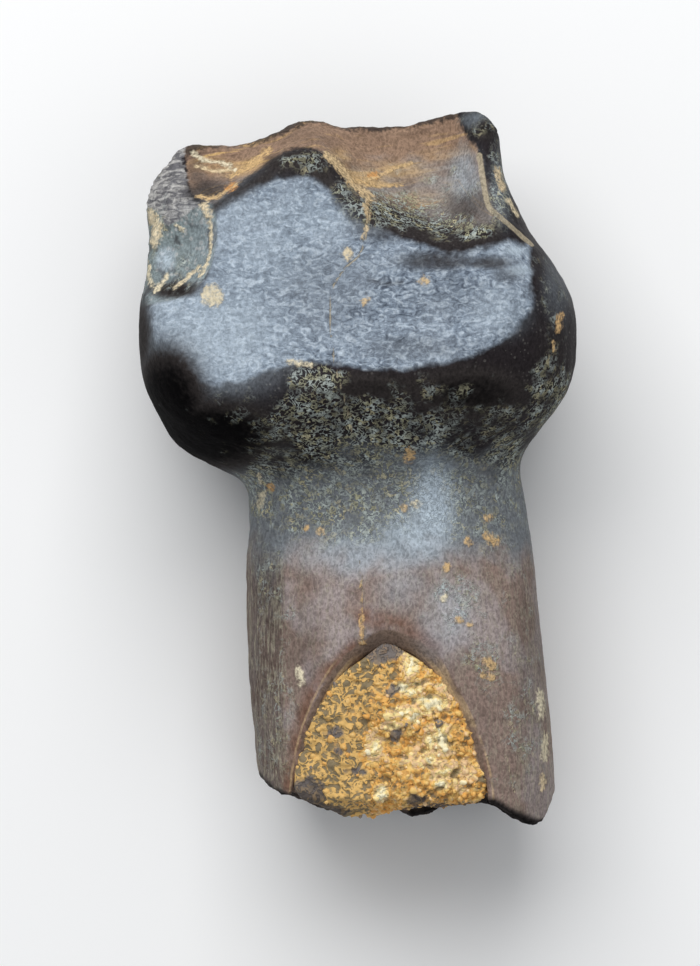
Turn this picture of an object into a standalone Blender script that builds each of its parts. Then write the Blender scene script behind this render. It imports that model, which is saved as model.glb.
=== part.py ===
"""Worn fossil tooth of an armoured dinosaur, with the sediment that fills its broken root.

The tooth lies on its back, worn face up: +X to the right as it is looked down on, +Y towards the
crown's tip, +Z up. The origin is under the middle of its box, on the surface that it lies on.
All sizes are in millimetres until the last step, which turns each finished mesh into metres.
"""

import math
from dataclasses import dataclass

import bmesh
import bpy
from mathutils import Matrix, Vector, noise

MM = 0.001

# Driving sizes of the tooth, and how closely its cross-sections are set.
TOOTH_LENGTH = 24.0
ROOT_TIP_Y = -TOOTH_LENGTH / 2
CROWN_TIP_Y = TOOTH_LENGTH / 2
RING_POINTS = 96
RING_STEP = 0.25
END_SPARE = 0.6
# Which way a surface must face, from 0 across to 1 straight down, to count as the back.
BACK_FADE = (0.2, 0.7)

# Worn face: a very shallow dish, ground across the front of the crown.
FACE_CENTRE = Vector((-0.8, 6.8, 9.75))
FACE_LEAN_BACK = math.radians(19)
FACE_LEAN_LEFT = math.radians(4)
FACE_DISH_RADIUS = 60.0

# Hollow along the crown's upper edge, from the worn face's end down to a thin rim: (x, y) where
# the face ends, the rim's height and, from left to right, how deep the two basins are in it.
FACE_END = (
    (-8.0, 7.0), (-6.6, 7.9), (-5.7, 8.5), (-4.7, 8.8), (-3.9, 9.4), (-2.9, 10.1),
    (-2.2, 10.45), (-1.5, 10.55), (-0.9, 10.15), (-0.4, 9.4), (0.45, 8.55), (2.1, 7.7),
    (3.5, 7.4), (4.8, 7.55), (8.0, 7.6),
)
RIM_Z = 5.7
BASIN_DEPTHS = ((-6.2, 0.0), (-5.4, 0.5), (-4.2, 1.3), (-3.0, 0.8), (-1.7, 0.1), (-0.8, 0.3),
                (0.6, 1.3), (2.0, 1.9), (3.0, 1.7), (3.7, 0.6), (4.3, 0.0))
BASIN_STEEPNESS = 1.6
# The wall right of the right basin, and the knob on its upper end.
WALL_X = 4.3
WALL_WIDTH = 0.7
WALL_HEIGHT = 1.1
KNOB = Vector((4.0, 11.5))
KNOB_RADIUS = 0.7
KNOB_HEIGHT = 0.5

# Shallow chip in the left side of the worn face: (y, x) of its right edge, and its depth there.
CHIP_EDGE = ((5.1, -8.5), (5.4, -6.6), (5.7, -5.75), (6.3, -5.1), (7.0, -4.8), (7.9, -4.7),
             (8.5, -4.85), (8.85, -5.4), (9.1, -6.4), (9.3, -8.5))
CHIP_LIP = 0.7
CHIP_LIP_WIDTH = 0.3
CHIP_SLOPE = 0.5
CHIP_FADE = (7.4, 8.9)

# Pulp hollow of the root, open through the front wall as a pointed arch and at the broken end.
ARCH_TOP_Y = -5.3
ARCH_BASE_Y = -11.6
ARCH_CENTRE_X = 1.1
ARCH_HALF_WIDTH = 3.3
ARCH_POINTEDNESS = 1.85
ARCH_POINT_SPARE = 0.02
HOLLOW_BACK_Z = 2.8
HOLLOW_SIDE_Z = 5.6
FILL_GAP = 0.3
FILL_RECESS = 0.35
FILL_TOP_Y = -6.0
FILL_TOP_HALF_WIDTH = 0.25
FILL_END_Y = -10.9
FILL_END_DOME = 0.35
FILL_END_RINGS = (0.85, 0.65, 0.4, 0.15)
FILL_LUMP_SIZE = 1.1
FILL_LUMP_HEIGHT = 0.34
FILL_LUMP_SHIFT = Vector((3.7, 1.9, 5.1))
FILL_STEP = 0.4
ARCH_POINTS = 20

# How finely the natural surface and the broken ones are meshed.
VOXEL = 0.22
ROUNDING_PASSES = 4
ROUNDING_STRENGTH = 0.5
TOOTH_FACES_KEPT = 0.1
BREAK_STEP = 0.4
BREAK_LUMP_SIZE = 1.7

# Unevenness of the broken faces and of the sediment: how fast finer layers fade, how much finer
# each is than the last, and how many there are.
BREAK_FRACTAL = (0.6, 2.0, 3)
SEDIMENT_FRACTAL = (0.7, 2.0, 3)

# How far the cutters reach.
CUTTER_HALF_WIDTH = 9.0
CUTTER_HEIGHTS = (-1.5, 12.5)
CUTTER_REACH = 26.0
REST_CUTTER_WIDTH = 40.0
REST_CUTTER_DEPTH = 4.0

TOOTH_COLOUR = (0.17, 0.15, 0.15)
TOOTH_ROUGHNESS = 0.45
SEDIMENT_COLOUR = (0.62, 0.42, 0.17)
SEDIMENT_ROUGHNESS = 0.9


@dataclass(frozen=True)
class Station:
    """One cross-section of the tooth: where its sides, back and front lie at a height y."""

    y: float
    left: float
    right: float
    back: float
    front: float
    side_z: float
    square_left: float
    square_right: float


# From the broken root end, over the neck and the swollen base of the crown, to the crown's tip.
STATIONS = (
    Station(ROOT_TIP_Y - END_SPARE, -3.0, 6.60, -0.05, 8.35, 4.4, 2.4, 2.4),
    Station(-10.0, -3.30, 6.62, -0.28, 8.60, 4.4, 2.4, 2.4),
    Station(-6.5, -3.62, 6.28, 0.10, 8.70, 4.5, 2.3, 2.4),
    Station(-3.3, -3.70, 5.96, 0.60, 8.42, 4.6, 2.3, 2.3),
    Station(-1.2, -3.62, 5.68, 0.95, 7.85, 4.7, 2.3, 2.3),
    Station(-0.3, -3.85, 5.50, 0.98, 7.95, 4.8, 2.3, 2.3),
    Station(0.35, -5.20, 5.46, 0.90, 8.60, 5.0, 2.4, 2.3),
    Station(0.95, -6.05, 5.78, 0.70, 9.50, 5.1, 2.6, 2.5),
    Station(1.95, -6.62, 6.50, 0.30, 10.70, 5.2, 3.0, 2.7),
    Station(2.85, -7.02, 6.98, 0.00, 11.25, 5.3, 3.4, 2.9),
    Station(4.3, -7.22, 7.22, -0.15, 11.60, 5.4, 3.8, 3.0),
    Station(5.6, -7.18, 7.18, 0.05, 11.60, 5.5, 3.8, 3.0),
    Station(6.8, -7.00, 6.60, 0.55, 11.30, 5.7, 3.6, 3.0),
    Station(7.9, -6.90, 5.78, 1.20, 11.00, 5.9, 3.4, 3.0),
    Station(8.8, -7.02, 5.36, 1.80, 10.70, 6.1, 3.2, 3.0),
    Station(9.6, -6.84, 4.96, 2.40, 10.40, 6.3, 3.0, 3.0),
    Station(10.6, -6.30, 4.80, 3.25, 10.00, 6.5, 3.0, 3.0),
    Station(CROWN_TIP_Y + END_SPARE, -5.9, 4.70, 4.90, 9.40, 7.0, 3.0, 3.0),
)

# The crown's upper edge and the root's broken end, as they show from the front: (x, y).
UPPER_EDGE = (
    (-7.6, 9.0), (-6.7, 9.85), (-6.3, 10.2), (-5.9, 10.72), (-5.1, 10.88), (-3.9, 10.9),
    (-3.1, 11.12), (-2.3, 11.5), (-1.5, 11.74), (-0.7, 11.56), (0.3, 11.45), (1.4, 11.46),
    (2.3, 11.7), (3.4, 11.94), (3.9, 12.0), (4.3, 11.85), (4.6, 11.4), (5.6, 10.2),
)
BROKEN_END = (
    (-4.2, -9.6), (-3.3, -10.4), (-2.7, -10.85), (-1.9, -11.1), (-0.8, -11.6), (-0.3, -11.4),
    (1.3, -11.45), (1.8, -11.75), (2.5, -11.65), (3.0, -11.35), (4.5, -11.3), (5.0, -11.6),
    (5.8, -12.0), (6.2, -11.8), (6.6, -11.0), (7.4, -10.2),
)
UPPER_EDGE_TILT = 0.0
UPPER_EDGE_ROUGHNESS = 0.1
UPPER_EDGE_SEED = 2.0
BROKEN_END_TILT = 0.04
BROKEN_END_ROUGHNESS = 0.12
BROKEN_END_SEED = 7.0


@dataclass(frozen=True)
class Swell:
    """A rounded rise, or with a negative height a hollow, in the natural surface."""

    centre: tuple
    radius: float
    height: float


SWELLS = (
    Swell((-4.7, 2.2, 10.0), 2.0, 0.45),   # left lobe under the worn face hangs lowest
    Swell((0.6, 1.6, 10.6), 1.6, -0.35),   # shallow saddle below the middle of the face
    Swell((6.4, 3.2, 8.0), 2.0, 0.25),     # right lobe of the swollen base
    Swell((-6.9, 3.4, 4.0), 2.4, 0.10),
    Swell((2.2, -1.2, 8.2), 2.2, 0.18),    # the lit ridge of the neck
    Swell((-2.2, -4.0, 8.2), 2.6, -0.16),  # flat stretch left of the ridge
    Swell((1.0, -5.6, 0.2), 1.5, -0.30),   # groove along the back of the root
    Swell((1.0, -3.2, 0.6), 1.5, -0.30),
)

# Shallow flutes on the back of the crown, each of which ran up to a denticle.
FLUTE_PITCH = 2.1
FLUTE_DEPTH = 0.22
FLUTE_FROM_Y = 3.6
FLUTE_FULL_Y = 6.4


def clear_scene():
    """Removes every object that the scene starts with."""
    for obj in list(bpy.data.objects):
        bpy.data.objects.remove(obj)


def smooth_step(low, high, value):
    """0 below low, 1 above high and an even rise between."""
    share = min(1.0, max(0.0, (value - low) / (high - low)))
    return share * share * (3 - 2 * share)


def curve_through(points, at):
    """Height at a place along a smooth curve through (place, height) points."""
    last = len(points) - 1
    k = next((i for i in range(1, last) if at < points[i][0]), last) - 1
    (x0, y0), (x1, y1) = points[k], points[k + 1]

    def slope(i):
        before, after = points[max(i - 1, 0)], points[min(i + 1, last)]
        return (after[1] - before[1]) / (after[0] - before[0])

    span = x1 - x0
    t = min(1.0, max(0.0, (at - x0) / span))
    rise = y0 * (1 + 2 * t) * (1 - t) ** 2 + y1 * t * t * (3 - 2 * t)
    return rise + span * (slope(k) * t * (1 - t) ** 2 - slope(k + 1) * t * t * (1 - t))


def station_at(y):
    """The cross-section at any height, read smoothly between the stations."""
    fields = ("left", "right", "back", "front", "side_z", "square_left", "square_right")
    values = [curve_through([(s.y, getattr(s, f)) for s in STATIONS], y) for f in fields]
    return Station(y, *values)


def signed_power(value, power):
    """A power that keeps the sign of its base."""
    return math.copysign(abs(value) ** power, value)


def ring_of(section):
    """One closed ring of points round a cross-section: a rounded square with uneven halves."""
    centre_x = (section.left + section.right) / 2
    ring = []
    for k in range(RING_POINTS):
        turn = 2 * math.pi * k / RING_POINTS
        across, up = math.cos(turn), math.sin(turn)
        power = 2 / (section.square_right if across > 0 else section.square_left)
        half = section.right - centre_x if across > 0 else centre_x - section.left
        height = section.front - section.side_z if up > 0 else section.side_z - section.back
        ring.append(Vector((
            centre_x + half * signed_power(across, power),
            section.y,
            section.side_z + height * signed_power(up, power),
        )))
    return ring


def mesh_object(name, mesh_data):
    """Links a finished bmesh to the scene as an object, facing outwards."""
    bmesh.ops.recalc_face_normals(mesh_data, faces=mesh_data.faces)
    mesh = bpy.data.meshes.new(name)
    mesh_data.to_mesh(mesh)
    mesh_data.free()
    obj = bpy.data.objects.new(name, mesh)
    bpy.context.scene.collection.objects.link(obj)
    return obj


def loft(name, rings):
    """A closed skin over rings of equal count, with a flat cap at each end."""
    skin = bmesh.new()
    rows = [[skin.verts.new(point) for point in ring] for ring in rings]
    count = len(rows[0])
    for low, high in zip(rows, rows[1:]):
        for k in range(count):
            after = (k + 1) % count
            skin.faces.new((low[k], low[after], high[after], high[k]))
    skin.faces.new(rows[0])
    skin.faces.new(rows[-1])
    return mesh_object(name, skin)


def spread(low, high, step):
    """Evenly spaced places from low to high, about a step apart."""
    count = max(2, round((high - low) / step))
    return [low + (high - low) * k / count for k in range(count + 1)]


def natural_body():
    """The grown form of root and crown, before wear and breakage."""
    heights = spread(STATIONS[0].y, STATIONS[-1].y, RING_STEP)
    body = loft("tooth", [ring_of(station_at(y)) for y in heights])
    normals = [v.normal.copy() for v in body.data.vertices]
    for vertex, normal in zip(body.data.vertices, normals):
        at = vertex.co.copy()
        rise = sum(
            s.height * math.exp(-((at - Vector(s.centre)).length / s.radius) ** 2)
            for s in SWELLS
        )
        on_back = smooth_step(*BACK_FADE, -normal.z)
        on_crown = smooth_step(FLUTE_FROM_Y, FLUTE_FULL_Y, at.y)
        wave = 0.5 - 0.5 * math.cos(2 * math.pi * at.x / FLUTE_PITCH)
        rise -= FLUTE_DEPTH * wave * on_back * on_crown
        vertex.co = at + normal * rise
    return body


def uneven_block(name, profile, side, tilt, roughness, seed):
    """A block, on the upper (1) or lower (-1) side of a profile, that ends in an uneven face."""
    grid = bmesh.new()
    places_x = spread(profile[0][0], profile[-1][0], BREAK_STEP)
    places_z = spread(*CUTTER_HEIGHTS, BREAK_STEP)
    rows = []
    for z in places_z:
        row = []
        for x in places_x:
            uneven = roughness * noise.fractal(Vector((x, seed, z)) / BREAK_LUMP_SIZE, *BREAK_FRACTAL)
            row.append(grid.verts.new((x, curve_through(profile, x) + tilt * z + uneven, z)))
        rows.append(row)
    for low, high in zip(rows, rows[1:]):
        for k in range(len(places_x) - 1):
            grid.faces.new((low[k], low[k + 1], high[k + 1], high[k]))
    pushed = bmesh.ops.extrude_face_region(grid, geom=grid.faces[:])
    for item in pushed["geom"]:
        if isinstance(item, bmesh.types.BMVert):
            item.co.y = side * CUTTER_REACH
    return mesh_object(name, grid)


def face_height(x, y):
    """Height of the worn face's shallow dish over (x, y)."""
    across, along = x - FACE_CENTRE.x, y - FACE_CENTRE.y
    lean = along * math.tan(FACE_LEAN_BACK) - across * math.tan(FACE_LEAN_LEFT)
    return FACE_CENTRE.z - lean + (across ** 2 + along ** 2) / (2 * FACE_DISH_RADIUS)


def worn_height(x, y):
    """Height down to which the crown's front is worn, hollowed and chipped over (x, y)."""
    height = face_height(x, y)
    end, edge = curve_through(FACE_END, x), curve_through(UPPER_EDGE, x)
    share = (y - end) / (edge - end)
    if share > 0:
        bowl = 2 * min(1.0, share) ** (1 / BASIN_STEEPNESS) * max(0.0, 1 - share)
        fall = min(1.0, share) * (face_height(x, end) - RIM_Z)
        height = face_height(x, end) - fall - bowl * curve_through(BASIN_DEPTHS, x)
        wall = WALL_HEIGHT * math.exp(-((x - WALL_X) / WALL_WIDTH) ** 2)
        height += wall * math.sqrt(min(1.0, share))
        height += KNOB_HEIGHT * math.exp(-((Vector((x, y)) - KNOB).length / KNOB_RADIUS) ** 2)
    inside = curve_through(CHIP_EDGE, y) - x
    if inside > 0:
        lip = CHIP_LIP * (1 - smooth_step(*CHIP_FADE, y))
        height -= lip * (1 - math.exp(-inside / CHIP_LIP_WIDTH)) + CHIP_SLOPE * inside
    return height


def worn_face_cutter():
    """A block whose underside is the worn, hollowed and chipped front of the crown."""
    grid = bmesh.new()
    places_x = spread(-CUTTER_HALF_WIDTH, CUTTER_HALF_WIDTH, RING_STEP)
    places_y = spread(-END_SPARE, CROWN_TIP_Y + 2 * END_SPARE, RING_STEP)
    rows = [[grid.verts.new((x, y, worn_height(x, y))) for x in places_x] for y in places_y]
    for low, high in zip(rows, rows[1:]):
        for k in range(len(places_x) - 1):
            grid.faces.new((low[k], low[k + 1], high[k + 1], high[k]))
    pushed = bmesh.ops.extrude_face_region(grid, geom=grid.faces[:])
    for item in pushed["geom"]:
        if isinstance(item, bmesh.types.BMVert):
            item.co.z = CUTTER_REACH
    return mesh_object("worn_face_cutter", grid)


def apply_modifiers(obj):
    """Replaces the object's mesh by what its modifiers make of it."""
    graph = bpy.context.evaluated_depsgraph_get()
    made = bpy.data.meshes.new_from_object(obj.evaluated_get(graph))
    obj.modifiers.clear()
    obj.data = made


def cut(obj, cutter):
    """Takes a cutter's shape away from the object, and then the cutter."""
    boolean = obj.modifiers.new("cut", "BOOLEAN")
    boolean.operation = "DIFFERENCE"
    boolean.object = cutter
    apply_modifiers(obj)
    bpy.data.objects.remove(cutter)


def even_out(obj, voxel, smoothing, kept):
    """Meshes the surface anew, rounds its edges as wear does and thins out the faces."""
    remesh = obj.modifiers.new("remesh", "REMESH")
    remesh.mode = "VOXEL"
    remesh.voxel_size = voxel
    smooth = obj.modifiers.new("smooth", "SMOOTH")
    smooth.factor = ROUNDING_STRENGTH
    smooth.iterations = smoothing
    thin = obj.modifiers.new("thin", "DECIMATE")
    thin.ratio = kept
    apply_modifiers(obj)


def arch_half_width(y, top_y):
    """Half the width at a height y of the arched hollow, or of its fill, that ends at top_y."""
    share = min(1.0, max(0.0, (y - ARCH_BASE_Y) / (top_y - ARCH_BASE_Y)))
    return ARCH_HALF_WIDTH * (1 - share ** ARCH_POINTEDNESS) ** (1 / ARCH_POINTEDNESS)


def arch_ring(y, half, front_z):
    """A ring round the hollow or its fill: half an oval behind, a given surface in front."""
    count = ARCH_POINTS
    depth = (HOLLOW_SIDE_Z - HOLLOW_BACK_Z) * half / ARCH_HALF_WIDTH
    ring = []
    for k in range(count + 1):
        turn = math.pi * (1 + k / count)
        x = ARCH_CENTRE_X + half * math.cos(turn)
        ring.append(Vector((x, y, HOLLOW_SIDE_Z + depth * math.sin(turn))))
    for k in range(1, count):
        x = ARCH_CENTRE_X + half * math.cos(math.pi * k / count)
        ring.append(Vector((x, y, front_z(x, y))))
    return ring


def hollow_cutter():
    """The pulp hollow: round behind, straight-walled in front, where it breaks through."""
    rings = []
    for y in spread(ARCH_BASE_Y - 2 * END_SPARE, ARCH_TOP_Y - ARCH_POINT_SPARE, FILL_STEP):
        rings.append(arch_ring(y, arch_half_width(y, ARCH_TOP_Y), lambda x, y: CUTTER_HEIGHTS[1]))
    return loft("hollow_cutter", rings)


def root_front(x, y):
    """Height of the root's unbroken front surface over (x, y)."""
    section = station_at(y)
    centre_x = (section.left + section.right) / 2
    across = abs(x - centre_x) / ((section.right - section.left) / 2)
    power = section.square_right if x > centre_x else section.square_left
    crown = max(0.0, 1 - across ** power) ** (1 / power)
    return section.side_z + (section.front - section.side_z) * crown


def fill_front(x, y):
    """Lumpy front surface of the sediment, a little under the root's own surface."""
    at = Vector((x, y, 0)) / FILL_LUMP_SIZE
    lumps = noise.fractal(at + FILL_LUMP_SHIFT, *SEDIMENT_FRACTAL)
    return root_front(x, y) - FILL_RECESS + FILL_LUMP_HEIGHT * lumps


def make_tooth():
    """Root and crown, worn, chipped and broken: one grown piece."""
    tooth = natural_body()
    cut(tooth, worn_face_cutter())
    even_out(tooth, VOXEL, ROUNDING_PASSES, TOOTH_FACES_KEPT)
    cut(tooth, uneven_block(
        "upper_cutter", UPPER_EDGE, 1, UPPER_EDGE_TILT, UPPER_EDGE_ROUGHNESS, UPPER_EDGE_SEED))
    cut(tooth, hollow_cutter())
    cut(tooth, uneven_block(
        "end_cutter", BROKEN_END, -1, BROKEN_END_TILT, BROKEN_END_ROUGHNESS, BROKEN_END_SEED))
    return tooth


def make_fill():
    """The sandy sediment in the pulp hollow, which hardened there."""
    rings = []
    for y in spread(FILL_END_Y, FILL_TOP_Y, FILL_STEP):
        half = max(FILL_TOP_HALF_WIDTH, arch_half_width(y, FILL_TOP_Y) - FILL_GAP)
        rings.append(arch_ring(y, half, fill_front))
    middle = sum(rings[0], Vector()) / len(rings[0])
    for share in FILL_END_RINGS:
        ring = [middle.lerp(point, share) for point in rings[0]]
        for point in ring:
            lump = noise.fractal(point / FILL_LUMP_SIZE, *SEDIMENT_FRACTAL)
            point.y -= FILL_END_DOME * (1 - share ** 2) + FILL_LUMP_HEIGHT * lump
        rings.insert(0, ring)
    return loft("sediment_fill", rings)


def rest_on_surface(obj):
    """Cuts the underside level where the piece rests, closing each flat it leaves."""
    block = bmesh.new()
    bmesh.ops.create_cube(block, size=1.0)
    size = Matrix.Diagonal((REST_CUTTER_WIDTH, REST_CUTTER_WIDTH, REST_CUTTER_DEPTH, 1))
    below = Matrix.Translation((0, 0, -REST_CUTTER_DEPTH / 2))
    bmesh.ops.transform(block, matrix=below @ size, verts=block.verts)
    cut(obj, mesh_object("rest_cutter", block))


def paint(obj, name, colour, roughness):
    """Gives an object its own plain material."""
    material = bpy.data.materials.new(name)
    material.use_nodes = True
    shader = material.node_tree.nodes["Principled BSDF"]
    shader.inputs["Base Color"].default_value = (*colour, 1)
    shader.inputs["Roughness"].default_value = roughness
    shader.inputs["Metallic"].default_value = 0.0
    obj.data.materials.clear()
    obj.data.materials.append(material)


def place_in_metres(objects):
    """Puts the origin under the middle of the whole and turns millimetres into metres."""
    corners = [v.co for obj in objects for v in obj.data.vertices]
    middle_x = (min(c.x for c in corners) + max(c.x for c in corners)) / 2
    middle_y = (min(c.y for c in corners) + max(c.y for c in corners)) / 2
    shift = Matrix.Translation((-middle_x, -middle_y, 0))
    for obj in objects:
        obj.data.transform(Matrix.Scale(MM, 4) @ shift)
        obj.data.shade_smooth()
        obj.data.update()


def main():
    """Builds the tooth and its sediment, resting on the surface z = 0."""
    clear_scene()
    tooth = make_tooth()
    rest_on_surface(tooth)
    fill = make_fill()
    paint(tooth, "dark_tooth", TOOTH_COLOUR, TOOTH_ROUGHNESS)
    paint(fill, "yellow_sandstone", SEDIMENT_COLOUR, SEDIMENT_ROUGHNESS)
    place_in_metres([tooth, fill])


main()
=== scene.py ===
"""Looks of a worn fossil tooth that lies on its back, with sandstone in its broken root.

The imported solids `tooth` and `sediment_fill` are each stood for by a finer surface of the same form.
Ripples, strata, cracks and grains are shaped on it, and the materials paint it by distances to
outlines and streaks, which are kept on its mesh.

Places and sizes are in millimetres on the tooth's own axes: +X to the right as the worn face is looked
down on, +Y towards the crown's tip, +Z up. A mesh is turned into metres when it is finished.
"""

import logging
import math
from dataclasses import dataclass
from enum import Enum
from functools import partial, reduce
from typing import Callable

import bpy
import numpy as np
from mathutils import Matrix, Vector, noise


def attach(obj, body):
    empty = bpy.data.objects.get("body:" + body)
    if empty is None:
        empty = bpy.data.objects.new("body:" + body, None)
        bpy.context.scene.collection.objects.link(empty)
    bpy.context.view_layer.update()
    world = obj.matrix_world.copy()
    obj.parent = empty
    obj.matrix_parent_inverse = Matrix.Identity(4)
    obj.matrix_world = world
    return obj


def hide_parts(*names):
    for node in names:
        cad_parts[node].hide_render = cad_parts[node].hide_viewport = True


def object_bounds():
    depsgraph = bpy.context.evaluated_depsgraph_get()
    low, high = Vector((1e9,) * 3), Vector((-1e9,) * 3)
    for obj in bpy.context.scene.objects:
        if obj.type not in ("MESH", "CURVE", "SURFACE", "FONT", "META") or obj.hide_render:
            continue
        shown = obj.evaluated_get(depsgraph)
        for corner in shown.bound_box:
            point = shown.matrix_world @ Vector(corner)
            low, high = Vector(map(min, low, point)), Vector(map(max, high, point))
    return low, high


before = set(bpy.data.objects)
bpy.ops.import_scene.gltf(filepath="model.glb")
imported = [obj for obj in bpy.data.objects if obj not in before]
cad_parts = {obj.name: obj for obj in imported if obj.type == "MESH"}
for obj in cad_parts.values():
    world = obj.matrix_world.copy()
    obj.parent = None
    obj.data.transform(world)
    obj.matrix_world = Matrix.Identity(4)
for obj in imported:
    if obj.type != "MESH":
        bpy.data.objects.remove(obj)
CAD_BOX = [list(corner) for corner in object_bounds()]

LOG = logging.getLogger("tooth")
MM = 0.001
SEED = 11
Socket = bpy.types.NodeSocket

# The photograph: its height in pixels, and where its middle lies on the tooth.
PHOTO_HEIGHT = 966
MM_PER_PIXEL = 0.0335
PHOTO_MIDDLE = (-0.23, -0.44)


class Layer(Enum):
    """Values kept on the tooth's mesh: lengths in millimetres first, then shares."""

    FACE = "face"
    HOLLOW = "hollow"
    CHIP = "chip"
    BREACH = "breach"
    CRACK = "crack"
    STAIN = "stain"
    WALL = "wall"
    BEVEL = "bevel"
    RIM = "rim"
    WARMTH = "warmth"
    RUST = "rust"
    OLIVE = "olive"
    PAINTED_SHEEN = "pale"
    GOLD = "gold"
    DARK = "dark"
    FIBRE = "fibre"
    BROKEN = "broken"


@dataclass(frozen=True)
class Daub:
    """A soft oval patch of some layer, seen from the front."""

    x: float
    y: float
    across: float
    along: float
    strength: float


@dataclass(frozen=True)
class Streak:
    """A mark along a line, or round one point. Warmth runs from 0, cream, to 1, orange."""

    line: tuple
    width: float
    warmth: float = 0.5
    strength: float = 1.0


def daubs(*rows: tuple) -> tuple:
    """Several daubs, each from its x, y, across, along and strength."""
    return tuple(Daub(*row) for row in rows)


def streaks(*rows: tuple) -> tuple:
    """Several streaks, each from its line, width and warmth."""
    return tuple(Streak(*row) for row in rows)


# Outlines on the front, as (x, y).
FACE_OUTLINE = (
    (-6.85, 5.3), (-6.83, 4.9), (-6.73, 4.29), (-6.37, 3.69), (-5.66, 3.05), (-4.59, 2.78),
    (-3.25, 3.0), (-2.24, 3.45), (-0.8, 3.45), (0.34, 3.28), (1.24, 3.22), (2.41, 3.35),
    (3.79, 3.68), (4.86, 4.29), (5.66, 5.13), (5.75, 6.1), (5.7, 7.2), (5.29, 7.54),
    (4.79, 7.5), (3.6, 7.2), (2.5, 7.25), (1.7, 7.5), (0.74, 7.97), (0.0, 8.15), (-0.6, 8.7),
    (-1.0, 9.3), (-1.6, 9.6), (-2.5, 9.6), (-3.2, 9.42), (-4.0, 9.05), (-4.65, 8.6),
    (-4.66, 7.7), (-4.76, 6.87), (-5.09, 6.2), (-5.6, 5.76),
    (-6.43, 5.56),
)
HOLLOW_OUTLINE = (
    (-5.7, 10.4), (-5.95, 11.0), (-5.0, 12.0), (-2.0, 12.6), (1.0, 12.6), (3.0, 12.6),
    (3.35, 11.8), (3.6, 11.1), (3.95, 10.7), (4.1, 10.3), (4.2, 9.55), (4.36, 8.7), (4.6, 8.35),
    (4.3, 8.15), (3.6, 8.1), (2.71, 8.3), (1.9, 8.6), (1.0, 8.9), (0.3, 9.1),
    (-0.23, 9.5), (-0.64, 10.07), (-1.07, 10.44), (-1.74, 10.68), (-2.41, 10.52),
    (-3.18, 10.0), (-3.92, 9.47), (-4.69, 8.8), (-5.26, 8.98), (-5.6, 9.5),
)
CHIP_OUTLINE = (
    (-4.9, 8.8), (-4.69, 8.6), (-4.62, 7.7), (-4.76, 6.87), (-5.09, 6.2), (-5.59, 5.76),
    (-6.43, 5.53), (-7.6, 5.5), (-7.8, 7.2), (-7.7, 8.7), (-7.0, 8.75), (-6.6, 8.55), (-6.3, 8.1),
    (-5.9, 8.25), (-5.4, 8.6),
)
WALL_OUTLINE = (
    (-5.0, 8.65), (-5.5, 9.05), (-5.65, 9.7), (-5.8, 10.3), (-5.9, 11.0), (-7.8, 10.9), (-7.9, 8.2),
    (-6.5, 7.9), (-5.9, 8.1), (-5.3, 8.5),
)
BREACH_OUTLINE = (
    (-2.24, -12.6), (-2.24, -11.05), (-2.11, -9.88), (-1.91, -8.88), (-1.64, -8.1),
    (-1.31, -7.37), (-0.9, -6.63), (-0.3, -5.86), (0.17, -5.43), (0.77, -5.2), (1.5, -5.36),
    (2.28, -5.76), (2.78, -6.37), (3.18, -7.1), (3.62, -7.87), (4.05, -8.88), (4.36, -9.88),
    (4.52, -11.05), (4.52, -12.6),
)
CROWN_EDGE = (
    (-7.6, 9.0), (-6.3, 10.2), (-5.1, 10.88), (-3.1, 11.12), (-1.5, 11.74), (0.3, 11.45),
    (2.3, 11.7), (4.3, 11.85), (5.6, 10.2),
)

CRACKS = (
    ((0.5, 9.05), (0.36, 8.0), (0.09, 7.1), (-0.37, 6.66), (-0.62, 6.3), (-0.82, 5.9),
     (-0.88, 5.0), (-0.8, 3.95), (-0.67, 3.2), (-0.37, 2.15), (-0.1, 0.97)),
    ((0.1, -3.0), (0.15, -3.8), (0.12, -4.6), (0.15, -5.4), (0.13, -6.2)),
    ((4.25, -9.5), (4.9, -9.45), (5.1, -10.1), (5.25, -10.7)),
)
RIDGE_LINE = ((4.08, 10.4), (4.18, 9.55), (4.32, 8.65), (4.6, 8.35), (5.3, 7.75), (5.73, 7.4))

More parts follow.
